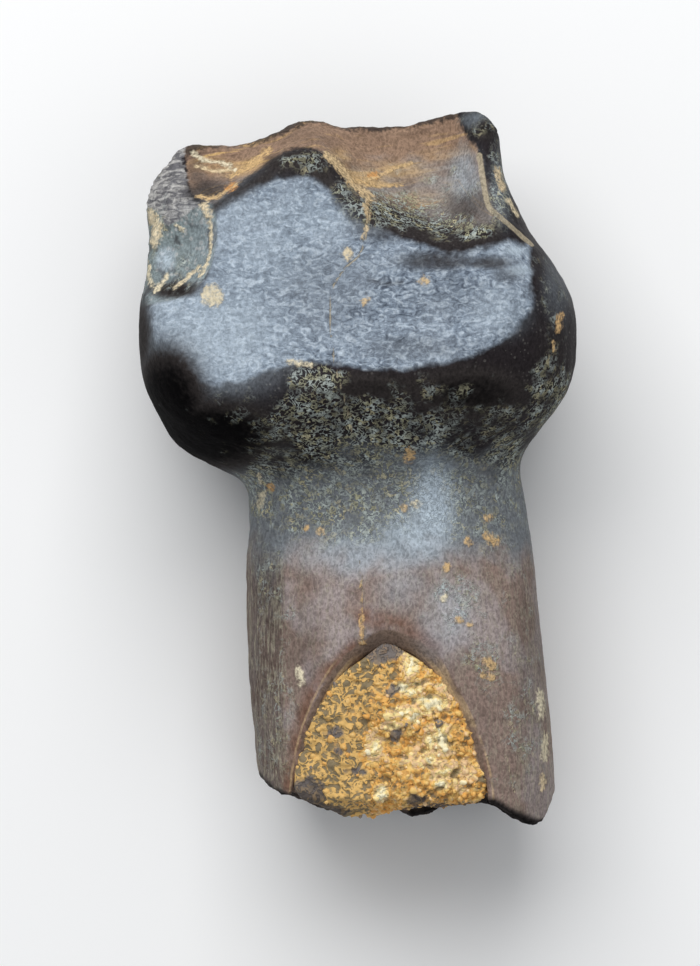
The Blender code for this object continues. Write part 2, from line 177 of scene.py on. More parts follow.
STAINS = streaks(
    # Cream star on the face, tan spots round it and on the crack.
    (((-4.78, 5.75), (-4.72, 5.68)), 0.34, 0.36),
    (((-4.95, 5.6), (-4.55, 5.75)), 0.14, 0.3),
    (((-0.35, 7.15), (-0.3, 7.05)), 0.16, 0.4),
    (((2.2, 6.2), (2.15, 6.15)), 0.16, 0.5),
    (((0.25, 5.5), (0.3, 5.55)), 0.12, 0.5),
    (((0.4, 9.0), (0.3, 8.65), (0.38, 8.3)), 0.1, 0.5),
    (((0.36, 8.15), (0.2, 7.6)), 0.07, 0.45),
    (((-2.25, 3.55), (-1.5, 3.4)), 0.1, 0.35),
    # Gold line and bands of the right basin.
    (((-1.0, 10.4), (-0.57, 10.0), (-0.17, 9.5), (0.2, 9.2), (0.45, 8.95)), 0.14, 0.5),
    (((-0.3, 9.5), (0.2, 9.55), (0.6, 9.72), (1.3, 10.05), (1.8, 10.2)), 0.07, 0.55),
    (((0.45, 9.8), (0.65, 9.78)), 0.13, 0.95),
    (((0.3, 9.4), (1.5, 9.45)), 0.06, 0.6),
    # Cream and ochre strata of the left basin.
    (((-5.5, 10.6), (-5.03, 10.3), (-4.3, 10.2), (-4.05, 9.95)), 0.08, 0.3),
    (((-5.4, 10.15), (-4.8, 9.95), (-4.2, 10.0)), 0.06, 0.45),
    (((-4.2, 9.75), (-3.6, 10.1), (-2.95, 10.65)), 0.12, 0.7),
    (((-4.25, 9.3), (-4.1, 9.4)), 0.15, 0.95),
    (((-5.3, 9.05), (-4.7, 9.0), (-4.2, 9.3), (-4.0, 9.45)), 0.07, 0.55),
    # Cream ridge and yellow stains of the right wall.
    (((4.66, 9.9), (4.8, 9.3)), 0.13, 0.45),
    (((5.0, 8.9), (5.3, 8.4)), 0.08, 0.4),
    (((6.7, 5.1), (6.6, 4.6)), 0.1, 0.75),
    (((6.45, 4.2), (6.5, 3.9)), 0.06, 0.6),
    # Chip's cream edge and yellow patches.
    (((-5.05, 8.7), (-4.9, 8.35)), 0.16, 0.42),
    (((-4.88, 8.3), (-4.86, 7.6), (-4.92, 6.95), (-5.2, 6.4)), 0.07, 0.38),
    (((-6.9, 8.5), (-6.7, 8.1), (-6.75, 7.6)), 0.2, 0.4),
    (((-7.0, 6.9), (-6.9, 6.3), (-6.6, 6.0)), 0.1, 0.35),
    (((-6.0, 8.1), (-5.75, 7.9)), 0.07, 0.35),
    (((-6.7, 5.95), (-6.3, 6.45)), 0.08, 0.35),
    (((-6.05, 6.0), (-5.5, 6.45), (-5.2, 6.7)), 0.07, 0.4),
    # Spots on bulge, neck and root.
    (((1.75, 0.55), (1.72, 0.4)), 0.17, 0.72),
    (((1.92, -1.1), (1.98, -1.15)), 0.13, 0.15),
    (((1.55, -1.2), (1.6, -1.3)), 0.12, 0.5),
    (((-3.25, -0.15), (-3.2, -0.4)), 0.07, 0.35),
    (((-3.15, -0.85), (-3.25, -1.15)), 0.14, 0.3),
    (((-2.9, -0.55), (-2.8, -0.6)), 0.1, 0.8),
    (((-1.25, -2.0), (-1.2, -2.05)), 0.13, 0.5),
    (((-1.65, -1.9), (-1.7, -1.95)), 0.07, 0.7),
    (((3.65, -2.35), (3.7, -2.4)), 0.13, 0.65),
    (((4.3, -2.2), (4.6, -2.4)), 0.14, 0.7),
    (((4.3, -1.65), (4.35, -1.6)), 0.13, 0.55),
    (((2.95, -3.25), (3.0, -3.2)), 0.13, 0.7),
    (((2.88, -4.25), (2.9, -4.2)), 0.12, 0.2),
    (((3.3, -4.95), (3.4, -5.0)), 0.12, 0.65),
    (((3.7, -5.1), (3.75, -5.1)), 0.1, 0.55),
    (((-1.95, -6.6), (-1.85, -7.1)), 0.11, 0.05),
    (((4.3, -6.3), (4.45, -6.5)), 0.16, 0.6),
    (((4.15, -6.8), (4.5, -6.9)), 0.1, 0.6),
    # Orange sand held in the upright crack over the breach.
    (((0.14, -4.7), (0.14, -5.6), (0.12, -6.25)), 0.09, 0.75),
    (((0.12, -3.2), (0.14, -4.2), (0.14, -4.7)), 0.04, 0.55),
    # Thin cream line inside the breach's edge, and yellow along the root's right side.
    (((-0.62, -7.2), (-1.19, -7.84), (-1.61, -8.7), (-1.81, -9.5), (-1.98, -10.15)), 0.05, 0.3),
    (((2.91, -7.07), (3.53, -7.97), (3.8, -8.5)), 0.05, 0.35),
    (((6.1, -7.4), (6.15, -8.2)), 0.12, 0.3),
    (((6.3, -8.9), (6.25, -9.6)), 0.14, 0.35),
    (((6.2, -10.2), (6.2, -10.6)), 0.1, 0.45),
)

# Marks on the front, each with its strength. Dents and ridges have a depth or height instead.
RUST_STREAKS = (
    Streak(((0.2, -4.8), (0.87, -5.0), (1.9, -5.35), (2.6, -5.8)), 0.25, strength=1.0),
    Streak(
        ((-0.1, -5.85), (-1.19, -6.93), (-1.68, -7.9), (-2.0, -9.06), (-2.28, -10.5)), 0.2, strength=1.0),
    Streak(((2.45, -6.06), (3.8, -8.5), (4.09, -9.48), (4.36, -10.15)), 0.12, strength=0.8),
)
# Dark streaks: the black band round the worn face, which the tooth has; the last two are painted shadow
# along the root's broken end.
DARK_STREAKS = (
    Streak(((-4.7, 8.65), (-4.1, 8.98), (-3.5, 9.35), (-2.9, 9.7)), 0.22, strength=0.6),
    Streak(((-2.7, 10.1), (-2.1, 10.2), (-1.6, 10.15), (-1.1, 9.75)), 0.32, strength=0.75),
    Streak(((-0.9, 9.5), (-0.3, 8.9), (0.6, 8.45)), 0.2, strength=0.6),
    Streak(((0.6, 8.45), (1.6, 8.1), (2.6, 7.8), (3.6, 7.65)), 0.3, strength=0.42),
    Streak(((1.6, 7.9), (2.6, 7.55), (3.6, 7.45), (4.6, 7.75)), 0.24, strength=0.5),
    Streak(((2.9, 7.1), (3.9, 6.85), (4.8, 6.65)), 0.16, strength=0.5),
    Streak(((0.4, 6.25), (0.9, 6.1), (1.5, 6.15)), 0.1, strength=0.42),
    Streak(
        ((1.9, -11.6), (2.6, -11.45), (3.4, -11.2), (4.4, -11.1), (5.0, -11.4), (6.1, -11.9)),
        0.2, strength=1.0),
    Streak(((-3.3, -10.3), (-2.7, -10.8), (-2.2, -11.0)), 0.16, strength=0.9),
)

# Soft patches on the front: olive crust, painted sheen, gold, dark (the tooth's own darks and painted
# shade), pale sand, grey matrix with painted shade on the sand, and ripples.
OLIVE_DAUBS = daubs(
    (-1.7, 10.1, 1.2, 0.6, 0.8), (-0.3, 9.0, 0.6, 0.7, 0.9), (1.2, 8.6, 1.8, 0.8, 1.1),
    (2.9, 8.1, 1.3, 0.7, 1.0), (2.7, 9.3, 1.6, 0.8, 0.7), (-2.2, 8.6, 2.2, 0.9, 0.3),
    (-1.4, 2.95, 1.2, 0.65, 1.1), (-3.3, 2.1, 1.7, 1.0, 0.62), (-1.5, 1.6, 1.7, 1.3, 1.1),
    (2.6, 2.2, 2.2, 1.1, 0.66), (4.9, 1.2, 1.4, 1.4, 0.8), (6.4, 2.2, 1.0, 1.9, 0.95),
    (5.0, 0.2, 1.0, 1.7, 0.95), (0.7, 0.0, 5.4, 1.5, 0.95), (-3.2, -0.6, 0.8, 1.3, 1.1),
    (-0.6, -1.7, 2.8, 1.2, 0.9), (4.5, -1.6, 1.1, 1.8, 0.85), (-5.2, 1.6, 2.2, 1.2, 0.3),
    (6.3, 5.8, 0.8, 1.8, 0.55), (-2.9, -3.4, 0.8, 2.4, 0.7), (4.3, -6.5, 0.7, 1.1, 0.8),
    (-2.8, -8.6, 0.8, 2.8, 0.7), (5.6, -8.6, 1.1, 2.8, 0.7), (-6.3, 9.4, 0.8, 0.8, 0.45),
    (3.9, 11.5, 0.7, 0.7, 0.75), (4.7, 9.2, 0.5, 2.0, 0.95), (6.4, 4.6, 0.6, 1.3, 0.6),
    (0.4, 1.1, 4.4, 1.7, 0.98), (1.0, -1.0, 6.5, 1.7, 1.0), (3.4, 9.3, 1.0, 1.2, 0.6),
    (-2.6, -6.0, 1.2, 5.5, 0.55), (5.5, -6.0, 1.3, 5.5, 0.5), (1.0, 9.7, 2.4, 0.8, 0.5),
    (3.6, 7.8, 1.2, 0.4, 0.9), (3.5, -4.2, 1.2, 1.6, 0.8), (4.2, -6.4, 0.9, 1.0, 0.8),
    (-5.9, 6.6, 0.9, 1.4, 0.6), (-6.7, 8.0, 0.5, 1.2, 0.8),
)
# Painted sheen and highlights: pale patches where light is mirrored on the neck, the worn face, the
# basin's wall and the root.
PAINTED_SHEEN_DAUBS = daubs(
    (-5.0, 4.4, 2.6, 1.9, 0.5), (-3.6, 7.4, 2.2, 1.9, 0.3), (-1.8, 8.3, 1.6, 1.0, 0.3),
    (2.5, -1.2, 0.75, 1.6, 0.9), (2.0, -2.2, 1.2, 0.9, 0.7), (0.2, -2.8, 2.6, 0.7, 0.45),
    (1.5, -3.9, 1.0, 0.8, 0.25), (6.6, 6.1, 0.5, 1.3, 0.12), (5.2, 7.2, 0.35, 0.16, 0.9),
    (5.3, 6.55, 0.4, 0.18, 0.9), (4.6, 5.2, 1.0, 0.8, 0.25), (3.6, 9.7, 0.5, 0.9, 0.5),
    (2.9, -4.9, 0.9, 1.3, 0.35), (-6.35, 7.0, 0.35, 0.45, 0.7), (4.0, 11.6, 0.5, 0.3, 0.25),
    (4.75, 9.2, 0.35, 1.2, 0.22),
)
GOLD_DAUBS = daubs(
    (0.1, 9.7, 0.9, 0.42, 0.9), (1.4, 9.95, 1.2, 0.35, 0.6), (-0.6, 10.05, 0.4, 0.55, 0.9),
    (-3.7, 10.0, 1.1, 0.35, 0.7), (-4.7, 10.15, 0.7, 0.3, 0.55), (1.7, 9.0, 1.4, 0.3, 0.35),
    (2.9, 10.5, 0.9, 0.25, 0.35),
)
# Dark daubs: the tooth's own black and dark patches, and painted shade. The black under the crown's bulge
# is partly painted shadow; the recess over the sand and the strip beside the left basin's wall are
# painted shade.
DARK_DAUBS = daubs(
    (-4.9, 1.1, 2.7, 1.25, 1.2), (-6.3, 1.9, 1.5, 2.3, 1.2), (3.7, 2.5, 2.2, 0.95, 0.95),
    (0.5, 2.7, 2.4, 0.5, 0.75), (-6.0, 5.95, 1.0, 0.32, 0.8), (4.3, 11.3, 0.4, 0.4, 0.8),
    (4.95, 9.6, 0.3, 1.4, 0.4), (0.85, -5.7, 0.8, 0.4, 0.42), (6.5, 3.4, 0.9, 2.0, 0.35),
    (2.6, 6.85, 1.5, 0.4, 0.6), (4.3, 6.8, 1.0, 0.25, 0.6), (-2.9, -4.5, 0.5, 1.6, 0.35),
    (3.0, 5.7, 2.2, 1.0, 0.22), (1.9, 4.0, 2.0, 0.5, 0.32), (3.6, 8.5, 0.7, 0.4, 0.5),
    (0.8, 7.95, 1.1, 0.55, 0.5), (4.9, 6.4, 0.6, 0.4, 0.4), (-1.9, -5.6, 0.9, 1.9, 0.26),
    (5.9, -5.9, 0.8, 3.0, 0.24), (-3.3, -6.5, 0.7, 3.6, 0.2), (-5.0, 9.2, 0.9, 0.5, 0.58),
    (-5.35, 9.9, 0.35, 0.9, 0.4), (3.6, 8.7, 0.9, 0.6, 0.45), (-3.0, -3.9, 0.6, 1.9, 0.36),
    (-0.9, 5.9, 2.2, 1.7, 0.25), (-1.9, 11.1, 1.2, 0.4, 0.22), (-7.2, 4.4, 0.5, 1.6, 0.8),
)
PALE_SAND = daubs(
    (2.65, -9.1, 0.5, 0.75, 0.42), (2.0, -9.6, 0.7, 0.3, 0.2), (0.5, -9.1, 0.3, 0.7, 0.42),
    (2.5, -7.7, 0.6, 0.3, 0.48), (1.5, -8.0, 0.9, 0.3, 0.3), (1.65, -6.5, 0.3, 0.6, 0.36),
    (1.8, -7.2, 0.6, 0.3, 0.4), (3.4, -10.0, 0.8, 0.5, 0.24), (0.8, -10.7, 0.25, 0.3, 0.75),
    (2.8, -10.4, 0.25, 0.2, 0.5), (2.9, -7.3, 0.35, 0.4, 0.3), (1.1, -8.5, 0.4, 0.25, 0.3),
)
# Grey matrix where the sand is left out, and painted shade in the recess at the plug's top and along its
# broken end.
DARK_SAND = daubs(
    (0.8, -5.95, 0.7, 0.5, 1.2), (-1.7, -10.8, 0.8, 0.6, 1.0), (-1.1, -11.3, 0.8, 0.35, 0.9),
    (3.1, -11.3, 1.5, 0.3, 1.0), (-0.8, -8.7, 0.4, 0.22, 0.75), (1.3, -8.75, 0.28, 0.3, 0.8),
    (0.0, -10.0, 0.45, 0.2, 0.75), (-0.5, -9.3, 0.4, 0.2, 0.7), (2.0, -10.9, 0.5, 0.3, 0.6),
    (1.2, -7.2, 0.4, 0.3, 0.6), (3.2, -8.2, 0.3, 0.3, 0.5),
)
RIPPLE_DAUBS = daubs(
    (1.2, 6.6, 3.4, 1.5, 1.0), (-2.5, 7.2, 3.0, 1.6, 0.6), (0.0, 4.6, 5.0, 1.2, 0.35),
)
KNOB = Daub(4.1, 11.4, 0.8, 0.7, 1.0)
DENTS = (
    Streak(((2.9, 7.05), (3.8, 6.9), (4.9, 6.65)), 0.24, strength=0.1),
    Streak(((0.4, 6.25), (0.9, 6.12), (1.5, 6.15)), 0.1, strength=0.05),
)
RIDGES = (
    Streak(RIDGE_LINE, 0.14, strength=0.12),
)


def rounded(line: tuple, closed: bool = False, steps: int = 5) -> np.ndarray:
    """Points along a smooth curve through the corners of a line.

    Args:
        line: The corners, as (x, y).
        closed: Whether the last corner joins the first.
        steps: How many points each stretch gets.

    Returns:
        The points, one (x, y) a row.
    """
    corners = np.array(line, float)
    if len(corners) < 3:
        return corners
    count = len(corners)
    made = []
    for k in range(count if closed else count - 1):
        near = [k - 1, k, k + 1, k + 2]
        if closed:
            near = [i % count for i in near]
        else:
            near = [min(max(i, 0), count - 1) for i in near]
        before, start, end, after = corners[near]
        for share in np.arange(steps) / steps:
            made.append(0.5 * (
                2 * start + (end - before) * share
                + (2 * before - 5 * start + 4 * end - after) * share ** 2
                + (3 * start - before - 3 * end + after) * share ** 3
            ))
    if not closed:
        made.append(corners[-1])
    return np.array(made)


def distance_to(points: np.ndarray, line: np.ndarray) -> np.ndarray:
    """Distance of each (x, y) point to a line of straight stretches.

    Args:
        points: Points, one (x, y) a row.
        line: The line's corners, one (x, y) a row.

    Returns:
        Each point's distance.
    """
    best = np.full(len(points), np.inf)
    for start, end in zip(line, line[1:]):
        run = end - start
        share = np.clip((points - start) @ run / max(run @ run, 1e-9), 0, 1)
        gap = points - start - share[:, None] * run
        best = np.minimum(best, np.hypot(gap[:, 0], gap[:, 1]))
    return best


def depth_in(points: np.ndarray, outline: tuple) -> np.ndarray:
    """Distance of each (x, y) point to a closed outline, positive inside it.

    Args:
        points: Points, one (x, y) a row.
        outline: The outline's corners, as (x, y).

    Returns:
        Each point's distance, negative outside.
    """
    ring = rounded(outline, closed=True)
    ring = np.vstack([ring, ring[:1]])
    inside = np.zeros(len(points), bool)
    for (x0, y0), (x1, y1) in zip(ring, ring[1:]):
        if y0 == y1:
            continue
        crosses = (y0 > points[:, 1]) != (y1 > points[:, 1])
        at = x0 + (points[:, 1] - y0) * (x1 - x0) / (y1 - y0)
        inside ^= crosses & (points[:, 0] < at)
    return np.where(inside, 1, -1) * distance_to(points, ring)


def smooth_step(low: float, high: float, value: np.ndarray) -> np.ndarray:
    """0 below low, 1 above high and an even rise between."""
    share = np.clip((value - low) / (high - low), 0, 1)
    return share * share * (3 - 2 * share)


def daubed(points: np.ndarray, patches: tuple) -> np.ndarray:
    """The strongest of several soft oval patches at each (x, y) point.

    Args:
        points: Points, one (x, y) a row.
        patches: The daubs.

    Returns:
        The strength at each point.
    """
    best = np.zeros(len(points))
    for daub in patches:
        far = ((points[:, 0] - daub.x) / daub.across) ** 2
        far = far + ((points[:, 1] - daub.y) / daub.along) ** 2
        best = np.maximum(best, daub.strength * np.exp(-far ** 1.6))
    return best


def rough(place: np.ndarray, scale: tuple, octaves: int = 3, shift: float = 0.0) -> np.ndarray:
    """Natural unevenness between about -1 and 1.

    Args:
        place: Points in millimetres.
        scale: How many lumps there are to a millimetre, along X, Y and Z.
        octaves: How many finer layers are added.
        shift: Moves the pattern, so that two with the same scale differ.

    Returns:
        The unevenness at each point.
    """
    sized = place * np.array(scale) + shift
    return np.array([noise.fractal(Vector(p), 0.8, 2.0, octaves) for p in sized])


def deselect_all() -> None:
    """Leaves nothing selected, so that an operator acts on the next piece alone."""
    for obj in bpy.context.selected_objects:
        obj.select_set(False)


def make_active(piece: bpy.types.Object) -> None:
    """Selects one piece and nothing else.

    Args:
        piece: The piece.
    """
    deselect_all()
    piece.select_set(True)
    bpy.context.view_layer.objects.active = piece


def apply_modifier(piece: bpy.types.Object, kind: str, **settings) -> None:
    """Adds a modifier with its settings and applies it.

    Args:
        piece: The piece.
        kind: The modifier's type.
        settings: The modifier's own settings.
    """
    make_active(piece)
    bpy.ops.object.modifier_add(type=kind)
    modifier = piece.modifiers[-1]
    for name, value in settings.items():
        setattr(modifier, name, value)
    bpy.ops.object.modifier_apply(modifier=modifier.name)


def copy_of_node(node: str, name: str) -> bpy.types.Object:
    """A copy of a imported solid, in millimetres, with its loose triangles merged.

    Args:
        node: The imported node.
        name: The new piece's name.

    Returns:
        The new piece.
    """
    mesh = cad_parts[node].data.copy()
    mesh.materials.clear()
    mesh.transform(Matrix.Scale(1 / MM, 4))
    piece = bpy.data.objects.new(name, mesh)
    mesh.name = name
    bpy.context.scene.collection.objects.link(piece)
    make_active(piece)
    bpy.ops.object.mode_set(mode="EDIT")
    bpy.ops.mesh.select_all(action="SELECT")
    bpy.ops.mesh.remove_doubles(threshold=0.0005)
    bpy.ops.object.mode_set(mode="OBJECT")
    return piece


def places_of(piece: bpy.types.Object) -> np.ndarray:
    """The piece's vertices, one (x, y, z) a row.

    Args:
        piece: The piece.

    Returns:
        The places.
    """
    flat = np.empty(len(piece.data.vertices) * 3)
    piece.data.vertices.foreach_get("co", flat)
    return flat.reshape(-1, 3)


def normals_of(piece: bpy.types.Object) -> np.ndarray:
    """The direction that the surface faces at each vertex.

    Args:
        piece: The piece.

    Returns:
        The directions, one (x, y, z) a row.
    """
    flat = np.empty(len(piece.data.vertices) * 3)
    piece.data.vertex_normals.foreach_get("vector", flat)
    return flat.reshape(-1, 3)


def set_places(piece: bpy.types.Object, places: np.ndarray) -> None:
    """Moves the piece's vertices."""
    piece.data.vertices.foreach_set("co", places.ravel())
    piece.data.update()


def keep_in_box(piece: bpy.types.Object, places: np.ndarray) -> None:
    """Moves the piece's vertices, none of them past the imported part's box."""
    low, high = (np.array(corner) / MM for corner in CAD_BOX)
    set_places(piece, np.clip(places, low, high))


def keep_values(piece: bpy.types.Object, name: str, values: np.ndarray) -> None:
    """Keeps one number a vertex on the mesh, for the material to read."""
    kept = piece.data.attributes.new(name, "FLOAT", "POINT")
    kept.data.foreach_set("value", values.astype(np.float32))


def finish_piece(piece: bpy.types.Object, node: str, material: bpy.types.Material) -> None:
    """Turns a piece into metres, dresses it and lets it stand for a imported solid.

    Args:
        piece: The piece, in millimetres.
        node: The solid it stands for.
        material: Its looks.
    """
    piece.data.transform(Matrix.Scale(MM, 4))
    make_active(piece)
    bpy.ops.object.shade_smooth()
    piece.data.materials.clear()
    piece.data.materials.append(material)
    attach(piece, "root")
    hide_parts(node)
    LOG.info("%s: %d faces", piece.name, len(piece.data.polygons))


@dataclass(frozen=True)
class Paint:
    """A colour by its red, green and blue as they look, from 0 to 255."""

    red: float
    green: float
    blue: float

    def linear(self) -> tuple:
        """The colour as shaders take it.

        Returns:
            Red, green, blue and 1.
        """
        parts = []
        for value in (self.red, self.green, self.blue):
            share = value / 255
            parts.append(share / 12.92 if share <= 0.04045 else ((share + 0.055) / 1.055) ** 2.4)
        return (*parts, 1.0)


class Graph:
    """Adds nodes to a material's or a group's tree, and joins them."""

    def __init__(self, tree: bpy.types.NodeTree) -> None:
        """Starts on a tree that may hold nodes."""
        self.tree = tree

    def feed(self, socket: Socket, value: object) -> None:
        """Joins a socket to another, or sets its own value.

        Args:
            socket: The socket that takes the value.
            value: Another socket, a Paint, or a number or vector.
        """
        if isinstance(value, Socket):
            self.tree.links.new(value, socket)
        else:
            socket.default_value = value.linear() if isinstance(value, Paint) else value

    def node(self, kind: str, inputs: dict | None = None, **settings: object) -> bpy.types.Node:
        """A new node.

        Args:
            kind: The node's type.
            inputs: Each input's value, by the input's name or number.
            settings: The node's own settings.

        Returns:
            The node.
        """
        made = self.tree.nodes.new(kind)
        for name, value in settings.items():
            setattr(made, name, value)
        for key, value in (inputs or {}).items():
            self.feed(made.inputs[key], value)
        return made

    def math(self, operation: str, first: object, second: object = 0.0, clamp: bool = False) -> Socket:
        """The outcome of a sum on two numbers."""
        inputs = {0: first, 1: second}
        return self.node("ShaderNodeMath", inputs, operation=operation, use_clamp=clamp).outputs[0]

    def product(self, *factors: object) -> Socket:
        """Several numbers multiplied."""
        return reduce(partial(self.math, "MULTIPLY"), factors)

    def total(self, *terms: object) -> Socket:
        """Several numbers added."""
        return reduce(partial(self.math, "ADD"), terms)

    def centred(self, value: object) -> Socket:
        """A number between 0 and 1, moved to lie round 0."""
        return self.math("SUBTRACT", value, 0.5)

    def apart(self, value: object, middle: float) -> Socket:
        """How far a number is from another, either way."""
        return self.math("ABSOLUTE", self.math("SUBTRACT", value, middle))

    def span(
            self, value: object, low: object, high: object,
            start: object = 0.0, end: object = 1.0) -> Socket:
        """A smooth change from start to end while a value goes from low to high."""
        inputs = dict(enumerate((value, low, high, start, end)))
        return self.node("ShaderNodeMapRange", inputs, interpolation_type="SMOOTHSTEP").outputs[0]

    def mix(self, share: object, first: object, second: object, blend: str = "MIX") -> Socket:
        """Two colours mixed."""
        inputs = {"Factor": share, 6: first, 7: second}
        return self.node("ShaderNodeMix", inputs, data_type="RGBA", blend_type=blend).outputs[2]

    def stretched(self, vector: object, scale: tuple) -> Socket:
        """A place multiplied along X, Y and Z."""
        return self.node("ShaderNodeVectorMath", {0: vector, 1: scale}, operation="MULTIPLY").outputs[0]

    def noise(self, vector: object, scale: object, detail: float = 2.0, twist: float = 0.0) -> Socket:
        """Soft noise between 0 and 1, with so many lumps to a millimetre."""
        inputs = {"Vector": vector, "Scale": scale, "Detail": detail, "Distortion": twist}
        return self.node("ShaderNodeTexNoise", inputs).outputs[0]

    def cells(self, vector: object, scale: object) -> tuple:
        """Random cells.

        Args:
            vector: The place.
            scale: How many cells there are to a millimetre.

        Returns:
            The distance to the nearest cell's middle, and that cell's two random numbers.
        """
        found = self.node("ShaderNodeTexVoronoi", {"Vector": vector, "Scale": scale}).outputs
        numbers = self.node("ShaderNodeSeparateColor", {0: found["Color"]}).outputs
        return found["Distance"], numbers[0], numbers[1]

    def kept(self, name: str) -> Socket:
        """A number kept on the mesh."""
        return self.node("ShaderNodeAttribute", attribute_name=name).outputs["Fac"]

    def place(self) -> Socket:
        """The place on the object, in millimetres."""
        return self.stretched(self.node("ShaderNodeTexCoord").outputs["Object"], (1 / MM,) * 3)

    def axes(self, vector: object) -> tuple:
        """A place's X and Y."""
        return tuple(self.node("ShaderNodeSeparateXYZ", {0: vector}).outputs)[:2]

    def group(self, tree: bpy.types.NodeTree, **values: object) -> bpy.types.Node:
        """A shared effect with its values, each by its socket's name."""
        inputs = {name.capitalize(): value for name, value in values.items()}
        return self.node("ShaderNodeGroup", inputs, node_tree=tree)


class Effects:
    """Shader groups that the materials place, each with its own values."""

    def __init__(self) -> None:
        """Builds each effect once."""
        self.speckle = self._group(
            "mineral speckle", self._speckle, ("Mask",), scale=6.0, density=0.5, size=0.35)
        self.crust = self._group("mineral crust", self._crust, ("Mask", "Tint"), scale=5.8, density=0.5)
        self.fibres = self._group("long fibres", self._fibres, ("Mask", "Height"), scale=4.0)
        self.grit = self._group("grit", self._grit, ("Value", "Height"), scale=8.0)
        self.veins = self._group("fine veins", self._veins, ("Value",), scale=6.0)

    @staticmethod
    def _group(name: str, build: Callable, outputs: tuple, **inputs: float) -> bpy.types.NodeTree:
        """A shared effect.

        Args:
            name: The group's name.
            build: Makes the numbers that it puts out, from a graph, the place and the inputs.
            outputs: The names of these numbers.
            inputs: Each number's first value. All groups take a Vector before them.

        Returns:
            The group's tree.
        """
        tree = bpy.data.node_groups.new(name, "ShaderNodeTree")
        tree.interface.new_socket("Vector", in_out="INPUT", socket_type="NodeSocketVector")
        labels = [word.capitalize() for word in inputs]
        for label, value in zip(labels, inputs.values()):
            made = tree.interface.new_socket(label, in_out="INPUT", socket_type="NodeSocketFloat")
            made.default_value = value
        for label in outputs:
            tree.interface.new_socket(label, in_out="OUTPUT", socket_type="NodeSocketFloat")
        graph = Graph(tree)
        given, out = graph.node("NodeGroupInput"), graph.node("NodeGroupOutput")
        sockets = [given.outputs[label] for label in ("Vector", *labels)]
        for label, value in zip(outputs, build(graph, *sockets)):
            graph.feed(out.inputs[label], value)
        return tree

    @staticmethod
    def _speckle(graph: Graph, place: Socket, scale: Socket, density: Socket, size: Socket) -> tuple:
        """Fine mineral specks, one to a cell, in more of the cells as the density rises.

        Args:
            graph: The group's graph.
            place: The place.
            scale: Lumps or cells to a millimetre.
            density: How much there is, 0 to 1.
            size: A speck's half width, in cells.

        Returns:
            The specks' mask.
        """
        near, first, second = graph.cells(place, scale)
        width = graph.product(size, graph.span(second, 0, 1, 0.6, 1.3))
        grain = graph.span(near, width, graph.product(width, 0.55))
        return (graph.product(grain, graph.math("LESS_THAN", first, density)),)

    @staticmethod
    def _crust(graph: Graph, place: Socket, scale: Socket, density: Socket) -> tuple:
        """Crumbs and short curling lines of crust, which crowd where the density is high.

        Args:
            graph: The group's graph.
            place: The place.
            scale: Lumps or cells to a millimetre.
            density: How much there is, 0 to 1.

        Returns:
            The crust's mask, and a number for its tint.
        """
        line = graph.span(graph.apart(graph.noise(place, scale, 2.0, 0.6), 0.5), 0.095, 0.02)
        near, first, second = graph.cells(place, graph.product(scale, 0.85))
        ring = graph.span(graph.apart(near, 0.3), 0.12, 0.04)
        ring = graph.product(ring, graph.math("LESS_THAN", first, 0.4))
        patch = graph.noise(place, graph.product(scale, 0.3), 4.0)
        limit = graph.math("SUBTRACT", 0.76, graph.product(density, 0.58))
        there = graph.span(patch, limit, graph.math("ADD", limit, 0.4))
        return graph.product(graph.math("MAXIMUM", line, ring), there), second

    @staticmethod
    def _fibres(graph: Graph, place: Socket, scale: Socket) -> tuple:
        """Fine lines along the tooth, as root and enamel split."""
        field = graph.noise(graph.stretched(place, (1.0, 0.11, 1.0)), scale, 3.0, 0.6)
        return graph.span(graph.apart(field, 0.5), 0.07, 0.0), field

    @staticmethod
    def _veins(graph: Graph, place: Socket, scale: Socket) -> tuple:
        """Fine curly light lines: 1 on a line, 0 between."""
        return (graph.span(graph.apart(graph.noise(place, scale, 3.0, 0.5), 0.5), 0.12, 0.0),)

    @staticmethod
    def _grit(graph: Graph, place: Socket, scale: Socket) -> tuple:
        """Grainy unevenness, centred on 0: the fine part, and fine and coarse together.

        Args:
            graph: The group's graph.
            place: The place.
            scale: Lumps or cells to a millimetre.

        Returns:
            Two numbers.
        """
        fine = graph.noise(place, scale, 3.0)
        coarse = graph.noise(place, graph.product(scale, 0.3), 2.0)
        both = graph.total(graph.product(fine, 0.6), graph.product(coarse, 0.4))
        return graph.centred(fine), graph.centred(both)


def new_material(name: str, roughness: float) -> tuple:
    """A material with its graph and its one shader.

    Args:
        name: The material's name.
        roughness: The shader's roughness.

    Returns:
        The material, its graph and its shader.
    """
    material = bpy.data.materials.new(name)
    material.use_nodes = True
    shader = material.node_tree.nodes["Principled BSDF"]
    shader.inputs["Roughness"].default_value = roughness
    return material, Graph(material.node_tree), shader


def add_bump(graph: Graph, shader: bpy.types.Node, height: object) -> None:
    """Gives the shader a fine relief, whose height is in millimetres.

    Args:
        graph: The material's graph.
        shader: Its shader.
        height: The height, in millimetres.
    """
    inputs = {"Strength": 1.0, "Distance": MM, "Height": height}
    graph.feed(shader.inputs["Normal"], graph.node("ShaderNodeBump", inputs).outputs[0])


